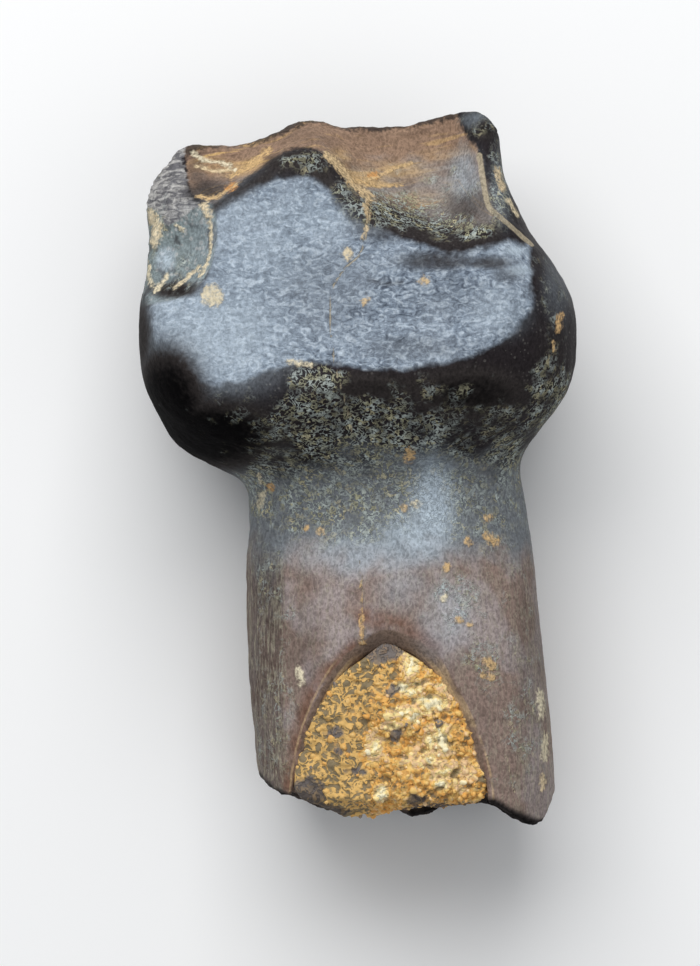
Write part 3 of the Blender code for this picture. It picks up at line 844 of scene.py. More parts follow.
class ToothGraph(Graph):
    """The tooth material's graph, with the values that several zones are painted from."""

    def __init__(self, tree: bpy.types.NodeTree, finish: "ToothFinish", effects: Effects) -> None:
        """Places the patterns and reads the layers.

        Args:
            tree: The material's tree.
            finish: Gives the patterns' scales.
            effects: The shared shader groups.
        """
        super().__init__(tree)
        self.effects = effects
        self.at = self.place()
        self.across, self.along = self.axes(self.at)
        self.layer = {item: self.kept(item.value) for item in Layer}
        self.cloud = self.noise(self.at, finish.cloud_scale, 3.0)
        self.patch = self.noise(self.at, finish.patch_scale, 3.0)
        self.grit, self.grit_relief = self.group(
            effects.grit, vector=self.at, scale=finish.grit_scale).outputs
        self.fibre, self.fibre_relief = self.group(
            effects.fibres, vector=self.at, scale=finish.fibre_scale).outputs
        wander = self.centred(self.noise(self.at, finish.wander_scale, 4.0))
        self.edge = self.total(self.product(wander, 0.4), self.product(self.grit, 0.16))

    def specks(self, scale: float, density: float, size: float) -> Socket:
        """Where mineral specks lie: so many cells to a millimetre, the share that has one, its size."""
        speckle = self.effects.speckle
        return self.group(speckle, vector=self.at, scale=scale, density=density, size=size).outputs[0]

    def grey(self, value: object) -> Socket:
        """A number as a grey colour."""
        return self.node("ShaderNodeCombineColor", dict.fromkeys(range(3), value)).outputs[0]


@dataclass(frozen=True)
class ToothFinish:
    """Colours of the mineralised tooth, zone by zone."""

    enamel: Paint = Paint(38, 34, 36)
    enamel_speck: Paint = Paint(104, 102, 98)
    # Near black: the enamel's own black, and painted shadow under the crown's bulge.
    black_enamel_and_shade: Paint = Paint(6, 5, 6)
    neck: Paint = Paint(106, 110, 114)
    root: Paint = Paint(138, 119, 110)
    root_purple: Paint = Paint(158, 146, 144)
    dentine: Paint = Paint(118, 100, 88)
    seam: Paint = Paint(190, 164, 126)
    root_dark: Paint = Paint(84, 72, 66)
    root_fibre: Paint = Paint(150, 143, 126)
    # The worn face's blue-grey is painted sheen: bluish light mirrored on its dark surface, in lighter
    # and deeper tones with its scales.
    face: Paint = Paint(128, 140, 154)
    face_pale: Paint = Paint(172, 183, 194)
    face_deep: Paint = Paint(76, 85, 98)
    band: Paint = Paint(50, 46, 45)
    hollow: Paint = Paint(138, 114, 96)
    hollow_red: Paint = Paint(104, 84, 72)
    hollow_grey: Paint = Paint(134, 127, 123)
    hollow_gold: Paint = Paint(186, 154, 106)
    chip: Paint = Paint(114, 124, 124)
    strata_dark: Paint = Paint(96, 95, 98)
    strata_pale: Paint = Paint(168, 166, 163)
    crust_grey: Paint = Paint(162, 170, 165)
    crust_olive: Paint = Paint(154, 152, 126)
    crust_cream: Paint = Paint(188, 180, 148)
    # Painted sheen and highlights.
    pale_sheen: Paint = Paint(174, 187, 198)
    cream: Paint = Paint(206, 196, 170)
    ochre: Paint = Paint(192, 162, 118)
    orange: Paint = Paint(188, 138, 86)
    rust: Paint = Paint(112, 80, 64)
    crack: Paint = Paint(168, 156, 132)
    broken: Paint = Paint(58, 50, 46)
    specular: float = 0.03
    cloud_scale: float = 0.55
    patch_scale: float = 1.6
    wander_scale: float = 5.0
    grit_scale: float = 9.0
    fibre_scale: float = 5.5
    vein_scale: float = 6.5
    crust_scale: float = 5.6
    flake_scale: float = 3.0
    grit_height: float = 0.03
    flake_height: float = 0.04
    fibre_height: float = 0.06
    crust_height: float = 0.03
    crack_depth: float = 0.03

    def material(self, effects: Effects) -> bpy.types.Material:
        """The finished material.

        Args:
            effects: The shared shader groups.

        Returns:
            The material, which reads the layers kept on the tooth's mesh.
        """
        material, graph, shader = new_material("dark_tooth", 0.45)
        shader.inputs["Specular IOR Level"].default_value = self.specular
        on = ToothGraph(graph.tree, self, effects)
        colour = self._root_and_crown(on)
        colour = self._worn_face(on, colour)
        colour = self._hollow(on, colour)
        colour = self._chip_and_wall(on, colour)
        colour = self._sheen_and_shade(on, colour)
        crust, colour = self._crust(on, colour)
        stain, colour = self._stains(on, colour)
        line = on.span(on.total(on.layer[Layer.CRACK], on.product(on.edge, 0.1)), 0.05, 0.015)
        colour = on.mix(on.product(line, 0.7), colour, self.crack)
        on_face = on.span(on.layer[Layer.FACE], -0.05, 0.1)
        drawn_out = on.stretched(on.at, (1.0, 0.6, 1.0))
        veins = on.group(on.effects.veins, vector=drawn_out, scale=self.vein_scale)
        drawn = on.total(on.product(veins.outputs["Value"], 0.34), on.grit)
        tone = on.total(0.87, on.product(drawn, on.span(on_face, 0, 1, 1.0, 0.65)))
        colour = on.mix(1.0, colour, on.grey(tone), "MULTIPLY")
        on.feed(shader.inputs["Base Color"], colour)
        in_hollow = on.span(on.layer[Layer.HOLLOW], -0.05, 0.1)
        dull = on.math("MAXIMUM", stain, on.math("MAXIMUM", crust, on.layer[Layer.BROKEN]), clamp=True)
        gloss = on.total(0.5, on.product(in_hollow, 0.1), on.product(on_face, -0.05))
        gloss = on.total(gloss, on.product(on.grit, 0.25))
        dull = on.math("MAXIMUM", dull, on.layer[Layer.DARK], clamp=True)
        on.feed(shader.inputs["Roughness"], on.total(gloss, on.product(dull, 0.35)))
        add_bump(on, shader, on.total(
            on.product(on.grit_relief, on.total(1.0, in_hollow), self.grit_height),
            on.product(self._flakes(on), on_face, self.flake_height),
            on.product(on.fibre_relief, on.layer[Layer.FIBRE], self.fibre_height),
            on.product(on.total(crust, stain), self.crust_height),
            on.product(line, -self.crack_depth),
        ))
        return material

    def _flakes(self, on: ToothGraph) -> Socket:
        """Small flat scales that lie across the worn face."""
        return on.noise(on.stretched(on.at, (1.0, 1.75, 1.4)), self.flake_scale, 4.0, 1.3)

    def _root_and_crown(self, on: ToothGraph) -> Socket:
        """The natural surface: brown root, grey neck and black crown.

        Args:
            on: The tooth's graph.

        Returns:
            The colours.
        """
        height = on.total(on.along, on.product(on.centred(on.cloud), 3.0))
        root = on.mix(on.span(on.cloud, 0.42, 0.6), self.root, self.root_purple)
        root = on.mix(on.span(on.patch, 0.5, 0.68, 0.0, 0.32), root, self.root_dark)
        flecks = on.specks(5.0, 0.3, 0.3)
        root = on.mix(on.product(flecks, 0.4), root, self.root_fibre)
        root = on.mix(on.product(on.layer[Layer.FIBRE], 0.75), root, self.root_dark)
        threads = on.product(on.fibre, on.total(on.layer[Layer.FIBRE], 0.3))
        root = on.mix(on.product(threads, 0.6), root, self.root_fibre)
        lines = on.span(on.fibre_relief, 0.36, 0.26)
        root = on.mix(on.product(lines, 0.45), root, self.root_dark)
        rust = on.product(on.layer[Layer.RUST], on.span(on.patch, 0.25, 0.6, 0.25, 0.85))
        root = on.mix(rust, root, self.rust)
        colour = on.mix(on.span(height, -3.6, -1.9), root, self.neck)
        specks = on.specks(7.0, 0.45, 0.34)
        enamel = on.mix(on.product(specks, 0.4), self.enamel, self.enamel_speck)
        colour = on.mix(on.span(height, -0.4, 0.9), colour, enamel)
        bevel = on.layer[Layer.BEVEL]
        colour = on.mix(on.span(bevel, 0.0, 0.05), colour, self.dentine)
        off = on.apart(bevel, 0.24)
        sides = on.product(on.span(on.along, -6.0, -6.8), on.span(on.patch, 0.3, 0.5))
        colour = on.mix(on.product(on.span(off, 0.1, 0.04), sides, 0.85), colour, self.seam)
        off = on.apart(on.layer[Layer.BREACH], 0.02)
        colour = on.mix(on.product(on.span(off, 0.06, 0.02), sides, 0.45), colour, self.seam)
        return on.mix(on.layer[Layer.BROKEN], colour, self.broken)

    def _worn_face(self, on: ToothGraph, colour: Socket) -> Socket:
        """The worn face: its blue-grey is painted sheen of bluish light on its dark surface, with its
        scales and pale specks.

        Args:
            on: The tooth's graph.
            colour: The colours so far.

        Returns:
            The colours with this zone on them.
        """
        flakes = self._flakes(on)
        # Painted sheen: blue-grey tones that stand for the light mirrored on the face.
        blue = on.mix(on.span(flakes, 0.3, 0.5), self.face_deep, self.face)
        blue = on.mix(on.span(flakes, 0.5, 0.68), blue, self.face_pale)
        blue = on.mix(on.span(on.cloud, 0.4, 0.62, 0.0, 0.25), blue, self.face_pale)
        off = on.apart(flakes, 0.46)
        blue = on.mix(on.span(off, 0.03, 0.0, 0.0, 0.5), blue, self.face_deep)
        specks = on.specks(6.5, 0.35, 0.4)
        blue = on.mix(on.product(specks, 0.35), blue, self.face_pale)
        inside = on.total(on.layer[Layer.FACE], on.product(on.centred(on.patch), 0.5))
        return on.mix(on.span(inside, -0.1, 0.16), colour, blue)

    def _hollow(self, on: ToothGraph, colour: Socket) -> Socket:
        """Brown basins along the crown's edge, layered in gold and dark brown.

        Args:
            on: The tooth's graph.
            colour: The colours so far.

        Returns:
            The colours with this zone on them.
        """
        inwards = on.total(on.layer[Layer.RIM], on.product(on.centred(on.patch), 1.6))
        brown = on.mix(on.span(inwards, 0.8, 1.9), self.hollow, self.hollow_grey)
        brown = on.mix(on.span(on.cloud, 0.48, 0.7, 0.0, 0.7), brown, self.hollow_red)
        wave = {0: on.product(on.across, 0.5), 1: on.product(on.layer[Layer.RIM], 4.0)}
        layers = on.noise(on.node("ShaderNodeCombineXYZ", wave).outputs[0], 1.0, 3.0, 0.5)
        left = on.span(on.across, -1.8, -2.8)
        strong = on.span(left, 0.0, 1.0, 0.45, 0.9)
        brown = on.mix(on.product(on.span(layers, 0.56, 0.66), strong), brown, self.hollow_gold)
        brown = on.mix(on.product(on.span(layers, 0.43, 0.33), strong), brown, self.hollow_red)
        gold = on.product(on.layer[Layer.GOLD], on.span(layers, 0.34, 0.58, 0.35, 1.0))
        brown = on.mix(on.product(gold, 0.9), brown, self.hollow_gold)
        inside = on.total(on.layer[Layer.HOLLOW], on.product(on.edge, 0.6))
        blend = on.product(on.span(on.along, 9.8, 9.2), on.span(on.across, -1.2, 0.0), 0.35)
        inner = on.span(inside, on.math("SUBTRACT", -0.08, blend), on.total(0.08, blend))
        colour = on.mix(inner, colour, brown)
        rim = on.product(
            on.span(on.total(on.layer[Layer.RIM], on.edge), 0.24, 0.08), on.span(inside, -0.1, 0.1))
        return on.mix(on.product(rim, 0.85), colour, self.band)

    def _chip_and_wall(self, on: ToothGraph, colour: Socket) -> Socket:
        """The grainy chip and the layered wall over it.

        Args:
            on: The tooth's graph.
            colour: The colours so far.

        Returns:
            The colours with this zone on them.
        """
        bands = on.noise(on.stretched(on.at, (0.9, 3.4, 1.0)), 1.9, 3.0, 1.0)
        layered = on.mix(on.span(bands, 0.38, 0.64), self.strata_dark, self.strata_pale)
        inside = on.total(on.layer[Layer.WALL], on.edge)
        colour = on.mix(on.span(inside, -0.08, 0.08), colour, layered)
        grains = on.specks(6.0, 0.6, 0.5)
        green = on.mix(on.product(grains, 0.55), self.chip, self.strata_pale)
        green = on.mix(on.span(on.patch, 0.54, 0.66, 0.0, 0.8), green, self.band)
        inside = on.total(on.layer[Layer.CHIP], on.product(on.edge, 0.4))
        return on.mix(on.span(inside, -0.05, 0.05), colour, green)

    def _sheen_and_shade(self, on: ToothGraph, colour: Socket) -> Socket:
        """Painted sheen and highlights, and dark stretches: the tooth's own dark enamel and bands, and
        painted shade under the crown's bulge, in the recess over the sand and along the root's broken
        end.

        Args:
            on: The tooth's graph.
            colour: The colours so far.

        Returns:
            The colours with this zone on them.
        """
        # Painted sheen and highlights where the pale layer lies.
        sheen = on.product(on.layer[Layer.PAINTED_SHEEN], on.span(on.patch, 0.2, 0.55, 0.6, 1.0))
        colour = on.mix(sheen, colour, self.pale_sheen)
        # Dark marks, partly the tooth's own dark enamel and bands, partly painted shade; the strongest go
        # near black.
        dark = on.total(on.layer[Layer.DARK], on.product(on.edge, on.layer[Layer.DARK], 1.2))
        colour = on.mix(on.span(dark, 0.0, 0.8), colour, self.band)
        return on.mix(on.span(dark, 0.6, 1.15), colour, self.black_enamel_and_shade)

    def _crust(self, on: ToothGraph, colour: Socket) -> tuple:
        """Olive and grey crust: where it clings, and the colour with it.

        Args:
            on: The tooth's graph.
            colour: The colours so far.

        Returns:
            Where the crust clings, and the colours with it.
        """
        crust = on.group(
            on.effects.crust, vector=on.at, scale=self.crust_scale, density=on.layer[Layer.OLIVE])
        mask, given = crust.outputs["Mask"], crust.outputs["Tint"]
        tint = on.mix(on.span(given, 0.3, 0.8), self.crust_grey, self.crust_olive)
        tint = on.mix(on.span(given, 0.85, 1.0, 0.0, 0.9), tint, self.crust_cream)
        # Crust under the painted sheen takes the sheen's pale colour.
        tint = on.mix(on.layer[Layer.PAINTED_SHEEN], tint, self.pale_sheen)
        faint = on.span(on.patch, 0.3, 0.65, 0.6, 1.0)
        return mask, on.mix(on.product(mask, faint), colour, tint)

    def _stains(self, on: ToothGraph, colour: Socket) -> tuple:
        """Cream, ochre and orange stains: where they lie, and the colour with them.

        Args:
            on: The tooth's graph.
            colour: The colours so far.

        Returns:
            Where the stains lie, and the colours with them.
        """
        stain = on.span(on.total(on.layer[Layer.STAIN], on.edge), -0.06, 0.1)
        warm = on.mix(on.span(on.layer[Layer.WARMTH], 0.3, 0.6), self.cream, self.ochre)
        warm = on.mix(on.span(on.layer[Layer.WARMTH], 0.65, 1.0), warm, self.orange)
        share = on.product(stain, on.span(on.grit, -0.15, 0.05, 0.55, 0.95))
        return stain, on.mix(share, colour, warm)


@dataclass(frozen=True)
class SandFinish:
    """Colours of the sandstone: its cement and its grains."""

    # Cement between the sand's veins, and painted shade in low crevices.
    cement_and_crevice_shade: Paint = Paint(120, 110, 88)
    matrix: Paint = Paint(116, 108, 104)
    # Painted shade: the matrix darkens towards the plug's broken end.
    matrix_end_shade: Paint = Paint(78, 68, 62)
    ochre: Paint = Paint(222, 180, 108)
    amber: Paint = Paint(228, 166, 82)
    yellow: Paint = Paint(238, 198, 116)
    pink: Paint = Paint(230, 192, 150)
    pale: Paint = Paint(250, 224, 150)
    white: Paint = Paint(252, 242, 204)
    bed_grit_scale: float = 8.0
    vein_scale: float = 3.3
    blob_scale: float = 2.4
    bed_grit_height: float = 0.08
    vein_height: float = 0.04
    grain_grit_scale: float = 10.0
    grain_grit_height: float = 0.05

    def _tinted(self, graph: Graph, tint: object) -> Socket:
        """Matrix, ochre, amber, yellow, pink, pale and white as a tint goes from 0 to 1.

        Args:
            graph: The material's graph.
            tint: The tint, 0 to 1.

        Returns:
            The colour.
        """
        ramp = graph.node("ShaderNodeValToRGB")
        tints = ((0.0, self.matrix), (0.05, self.ochre), (0.3, self.ochre), (0.44, self.amber),
                 (0.56, self.yellow), (0.68, self.pink), (0.8, self.pale), (0.94, self.white))
        points = ramp.color_ramp.elements
        while len(points) < len(tints):
            points.new(1.0)
        for point, (start, colour) in zip(points, tints):
            point.position = start
            point.color = colour.linear()
        graph.feed(ramp.inputs[0], tint)
        return ramp.outputs[0]

    def bed(self, effects: Effects) -> bpy.types.Material:
        """The cement between the grains, darker between its veins, and with painted shade where its
        relief lies low.

        Args:
            effects: The shared shader groups.

        Returns:
            The material.
        """
        material, graph, shader = new_material("sand_cement", 0.8)
        place = graph.place()
        grit = graph.group(effects.grit, vector=place, scale=self.bed_grit_scale)
        fine = grit.outputs["Value"]
        veins = graph.group(effects.veins, vector=place, scale=self.vein_scale)
        vein = graph.span(veins.outputs["Value"], 0.0, 0.75)
        along = graph.axes(place)[1]
        kept = graph.kept(SedimentPlug.TINT)
        blobs = graph.centred(graph.noise(place, self.blob_scale, 2.0, 0.8))
        tint = graph.total(
            kept, graph.product(fine, 0.25), graph.product(blobs, graph.span(kept, 0.25, 0.5, 0.2, 1.1)))
        body = self._tinted(graph, tint)
        between = graph.product(graph.math("SUBTRACT", 1.0, vein), graph.span(tint, 0.5, 0.3, 0.12, 0.9))
        depth = graph.total(graph.kept(SedimentPlug.DEPTH), graph.product(fine, 0.3))
        # Painted shade where the kept relief lies low.
        low = graph.span(depth, -0.1, -0.45, 0.0, 0.7)
        colour = graph.mix(graph.math("MAXIMUM", between, low), body, self.cement_and_crevice_shade)
        bare = graph.product(graph.kept(SedimentPlug.DARK), graph.span(vein, 0.6, 1.0, 1.0, 0.85))
        # Painted shade towards the plug's broken end.
        matrix = graph.mix(graph.span(along, -10.2, -11.0), self.matrix, self.matrix_end_shade)
        colour = graph.mix(bare, colour, matrix)
        graph.feed(shader.inputs["Base Color"], colour)
        add_bump(graph, shader, graph.total(
            graph.product(grit.outputs["Height"], self.bed_grit_height),
            graph.product(vein, self.vein_height)))
        return material

    def grains(self, effects: Effects) -> bpy.types.Material:
        """Quartz and feldspar grains, each of one tint, with cement stuck to them.

        Args:
            effects: The shared shader groups.

        Returns:
            The material.
        """
        material, graph, shader = new_material("sand_grains", 0.5)
        place = graph.place()
        grit = graph.group(effects.grit, vector=place, scale=self.grain_grit_scale)
        tint = graph.total(graph.kept(SandGrains.TINT), graph.product(grit.outputs["Value"], 0.3))
        graph.feed(shader.inputs["Base Color"], self._tinted(graph, tint))
        graph.feed(shader.inputs["Roughness"], graph.span(grit.outputs["Value"], -0.1, 0.1, 0.3, 0.75))
        add_bump(graph, shader, graph.product(grit.outputs["Height"], self.grain_grit_height))
        return material


@dataclass
class ToothSurface:
    """Crown and root, one grown piece, with all its fine relief."""

    voxel: float = 0.118
    rounding: int = 9
    crisp_reach: float = 0.45
    end_y: float = -10.9
    wall_bottom: float = 4.0
    bevel_width: float = 0.45
    lip_points: int = 6
    ledge_width: float = 0.2
    ledge_depth: float = 0.06
    stain_depth: float = 0.15
    hidden_stains: int = 46
    ridge_width: float = 0.05
    ripple_height: float = 0.03
    hollow_lumps: float = 0.05
    strata_height: float = 0.025
    strata_pitch: float = 0.32
    chip_lumps: float = 0.07
    chip_depth: float = 0.05
    wall_pitch: float = 0.24
    fibre_height: float = 0.035
    groove_height: float = 0.012
    swelling: float = 0.03
    knob_lumps: float = 0.12
    broken_lumps: float = 0.08
    crack_depth: float = 0.05
    crack_width: float = 0.08

    def build(self, finish: ToothFinish, effects: Effects) -> bpy.types.Object:
        """Makes and dresses the piece.

        Args:
            finish: Colours of the tooth.
            effects: The shared shader groups.

        Returns:
            The finished piece.
        """
        piece = copy_of_node("tooth", "tooth_surface")
        apply_modifier(piece, "REMESH", mode="VOXEL", voxel_size=self.voxel)
        self._round_off(piece)
        places, normals = places_of(piece), normals_of(piece)
        layers = self._layers(places, normals)
        moved = places + normals * self._relief(places, normals, layers)[:, None]
        level = normals * np.array((1.0, 1.0, 0.0))
        moved += level * layers[Layer.BEVEL][:, None]
        keep_in_box(piece, moved)
        for layer, values in layers.items():
            keep_values(piece, layer.value, values)
        finish_piece(piece, "tooth", finish.material(effects))
        return piece

    def _round_off(self, piece: bpy.types.Object) -> None:
        """Smooths the facets away, but keeps the broken edges crisp.

        Args:
            piece: The piece, in millimetres.
        """
        places = places_of(piece)
        to_break = np.abs(depth_in(places[:, :2], BREACH_OUTLINE))
        to_break = np.where(places[:, 2] > self.wall_bottom, to_break, self.crisp_reach)
        to_break = np.minimum(to_break, np.maximum(places[:, 1] - self.end_y, 0.0))
        weights = smooth_step(0.1, self.crisp_reach, to_break)
        group = piece.vertex_groups.new(name="soft")
        for step in np.linspace(0.1, 1.0, 10):
            chosen = np.flatnonzero(np.abs(weights - step) <= 0.05)
            group.add(chosen.tolist(), float(step), "REPLACE")
        apply_modifier(piece, "SMOOTH", factor=0.5, iterations=self.rounding, vertex_group="soft")
        apply_modifier(piece, "SMOOTH", factor=0.4, iterations=2)

    def _layers(self, places: np.ndarray, normals: np.ndarray) -> dict:
        """The value of each layer at each vertex.

        Args:
            places: The piece's vertices, in millimetres.
            normals: The direction that the surface faces at each vertex.

        Returns:
            Each layer's values.
        """
        flat = places[:, :2]
        front = smooth_step(-0.15, 0.1, normals[:, 2])
        away = -2.0 * (1 - front)
        on_top = smooth_step(2.6, 4.2, places[:, 2])
        layers = {
            Layer.FACE: depth_in(flat, FACE_OUTLINE) + away,
            Layer.HOLLOW: depth_in(flat, HOLLOW_OUTLINE) + away,
            Layer.CHIP: depth_in(flat, CHIP_OUTLINE) + away,
            Layer.BREACH: -depth_in(flat, BREACH_OUTLINE) + 2.0 * (1 - on_top),
            # Painted sheen and highlights.
            Layer.PAINTED_SHEEN: daubed(flat, PAINTED_SHEEN_DAUBS) * front,
            Layer.GOLD: daubed(flat, GOLD_DAUBS) * front,
            Layer.RUST: self._streaked(flat, RUST_STREAKS) * front,
        }
        # Dark marks: the tooth's own dark enamel and bands, and painted shade.
        layers[Layer.DARK] = front * np.maximum(
            daubed(flat, DARK_DAUBS), self._streaked(flat, DARK_STREAKS))
        cracks = [distance_to(flat, rounded(line)) for line in CRACKS]
        cracks.append(distance_to(flat, rounded(RIDGE_LINE)) - self.ridge_width)
        layers[Layer.CRACK] = np.min(cracks, axis=0) - away
        layers[Layer.STAIN], layers[Layer.WARMTH] = self._stains(places, away)
        layers[Layer.OLIVE] = self._olive(places, front)
        layers[Layer.FIBRE] = self._fibre(places, front)
        layers[Layer.WALL] = depth_in(flat, WALL_OUTLINE) + away
        end = smooth_step(self.end_y + 0.7, self.end_y, places[:, 1])
        end *= smooth_step(0.45, 0.8, -normals[:, 1])
        layers[Layer.RIM] = distance_to(flat, rounded(CROWN_EDGE))
        layers[Layer.BEVEL] = self._bevel(places, normals)
        layers[Layer.BROKEN] = np.where(layers[Layer.BEVEL] > 0, 0, end)
        return layers

    def _bevel(self, places: np.ndarray, normals: np.ndarray) -> np.ndarray:
        """How far each vertex of the breach's wall is moved in, so that the wall slopes to the sand.

        Args:
            places: The piece's vertices, in millimetres.
            normals: The direction that the surface faces at each vertex.

        Returns:
            The distances moved.
        """
        inside = depth_in(places[:, :2], BREACH_OUTLINE)
        steep = np.abs(normals[:, 2]) < 0.75
        front = places[:, 2] > self.wall_bottom
        near = (inside > -0.12) & (inside < 0.5)
        wall = np.flatnonzero(near & steep & front)
        lip = places[(inside < 0.05) & (inside > -0.6) & (normals[:, 2] > 0.8) & front]
        moved = np.zeros(len(places))
        for k in wall:
            gaps = np.hypot(lip[:, 0] - places[k, 0], lip[:, 1] - places[k, 1])
            top = lip[np.argsort(gaps)[:self.lip_points], 2].max()
            moved[k] = np.clip(top - places[k, 2], 0, self.bevel_width)
        return moved * smooth_step(self.end_y + 0.3, self.end_y + 1.3, places[:, 1])

    @staticmethod
    def _streaked(flat: np.ndarray, marks: tuple) -> np.ndarray:
        """How strongly streaks cover each point: most along the middle, fading to twice the width.

        Args:
            flat: Points, one (x, y) a row.
            marks: The streaks.

        Returns:
            The strength at each point.
        """
        best = np.zeros(len(flat))
        for streak in marks:
            gap = distance_to(flat, rounded(streak.line)) / streak.width
            best = np.maximum(best, streak.strength * smooth_step(2.0, 0.0, gap))
        return best

    def _stains(self, places: np.ndarray, away: np.ndarray) -> tuple:
        """How deep in a stain each vertex lies, more along narrow ones, and that stain's warmth.

        Args:
            places: The piece's vertices, in millimetres.
            away: 0 in front, and -2 where a vertex faces away.

        Returns:
            The depths, and the warmths.
        """
        depths, warmths = [np.full(len(places), -1.0)], [0.5]
        for streak in STAINS:
            share = 1 - distance_to(places[:, :2], rounded(streak.line)) / streak.width
            depths.append(share * max(streak.width, self.stain_depth) + away)
            warmths.append(streak.warmth)
        random = np.random.default_rng(SEED)
        hidden = np.flatnonzero(away < -1.5)
        for middle in places[random.choice(hidden, self.hidden_stains, replace=False)]:
            depths.append(random.uniform(0.08, 0.26) - np.linalg.norm(places - middle, axis=1))
            warmths.append(random.uniform(0.15, 0.9))
        return np.max(depths, axis=0), np.array(warmths)[np.argmax(depths, axis=0)]

    @staticmethod
    def _olive(places: np.ndarray, front: np.ndarray) -> np.ndarray:
        """How thickly olive crust lies: by listed daubs in front, and in bands behind.

        Args:
            places: The piece's vertices, in millimetres.
            front: How far each vertex faces the camera, 0 to 1.

        Returns:
            The share of crust.
        """
        least = 0.12 + 0.16 * smooth_step(-2.5, -4.0, places[:, 1])
        least += 0.3 * np.exp(-((places[:, 1] - 1.2) / 1.9) ** 2) * smooth_step(-5.5, -3.5, places[:, 0])
        seen = np.maximum(daubed(places[:, :2], OLIVE_DAUBS), least)
        behind = 0.35 + 0.3 * np.exp(-((places[:, 1] - 0.3) / 2.2) ** 2)
        return seen * front + behind * (1 - front)

    @staticmethod
    def _fibre(places: np.ndarray, front: np.ndarray) -> np.ndarray:
        """How fibrous the surface is: most on the root's left strip and behind.

        Args:
            places: The piece's vertices, in millimetres.
            front: How far each vertex faces the camera, 0 to 1.

        Returns:
            The share of fibre.
        """
        root = smooth_step(-0.8, -2.6, places[:, 1])
        left = smooth_step(-2.2, -2.6, places[:, 0])
        right = 0.5 * smooth_step(4.6, 5.6, places[:, 0])
        return root * np.maximum(np.maximum(left, right), np.maximum(0.18, 0.85 * (1 - front)))

    def _relief(self, places: np.ndarray, normals: np.ndarray, layers: dict) -> np.ndarray:
        """How far each vertex is moved out along its normal, in millimetres.

        Args:
            places: The piece's vertices, in millimetres.
            normals: The direction that the surface faces at each vertex.
            layers: Each layer's values.

        Returns:
            The distances moved.
        """
        flat = places[:, :2]
        face = smooth_step(0.05, 0.4, layers[Layer.FACE])
        hollow = smooth_step(-0.05, 0.2, layers[Layer.HOLLOW])
        chip = smooth_step(-0.05, 0.15, layers[Layer.CHIP])
        front = smooth_step(0.0, 0.35, normals[:, 2])
        scales = rough(places, (1.3, 4.2, 3.0))
        rise = self.ripple_height * scales * face * daubed(flat, RIPPLE_DAUBS)
        rise += self.hollow_lumps * rough(places, (1.5, 2.2, 1.5), shift=3.0) * hollow
        edge = layers[Layer.RIM]
        strata = np.sin(edge * math.tau / self.strata_pitch + 2 * scales)
        rise += self.strata_height * strata * hollow * smooth_step(1.2, 0.3, edge)
        lumps = self.chip_lumps * rough(places, (2.4, 2.4, 2.4), shift=5.0)
        rise += (lumps - self.chip_depth) * chip
        slant = (places[:, 1] * 0.9 + places[:, 0] * 0.35) / self.wall_pitch
        wall = smooth_step(-0.1, 0.15, layers[Layer.WALL])
        rise += self.strata_height * np.sin(slant * math.tau + 2 * scales) * wall
        grooves = rough(places, (3.6, 0.35, 3.6), shift=7.0)
        rise += (self.fibre_height * layers[Layer.FIBRE] + self.groove_height) * grooves
        rise += self.swelling * rough(places, (0.8, 0.8, 0.8), shift=11.0) * (1 - face)
        knob = daubed(flat, (KNOB,)) * front
        rise += self.knob_lumps * rough(places, (2.0, 2.0, 2.0), shift=13.0) * knob
        rise += self.broken_lumps * rough(places, (1.9, 1.9, 1.9), shift=17.0) * layers[Layer.BROKEN]
        rise += front * (self._streaked(flat, RIDGES) - self._streaked(flat, DENTS))
        rise -= self.crack_depth * np.exp(-(layers[Layer.CRACK] / self.crack_width) ** 2)
        step = smooth_step(self.ledge_width, self.ledge_width - 0.12, layers[Layer.BREACH])
        rise -= self.ledge_depth * step * front * smooth_step(0.2, 0.6, normals[:, 2])
        inner = np.clip(np.abs(depth_in(flat, BREACH_OUTLINE)) / 0.25, 0, 1)
        return rise * np.where(layers[Layer.BROKEN] > 0.5, 1.0, np.maximum(inner, 0.4))


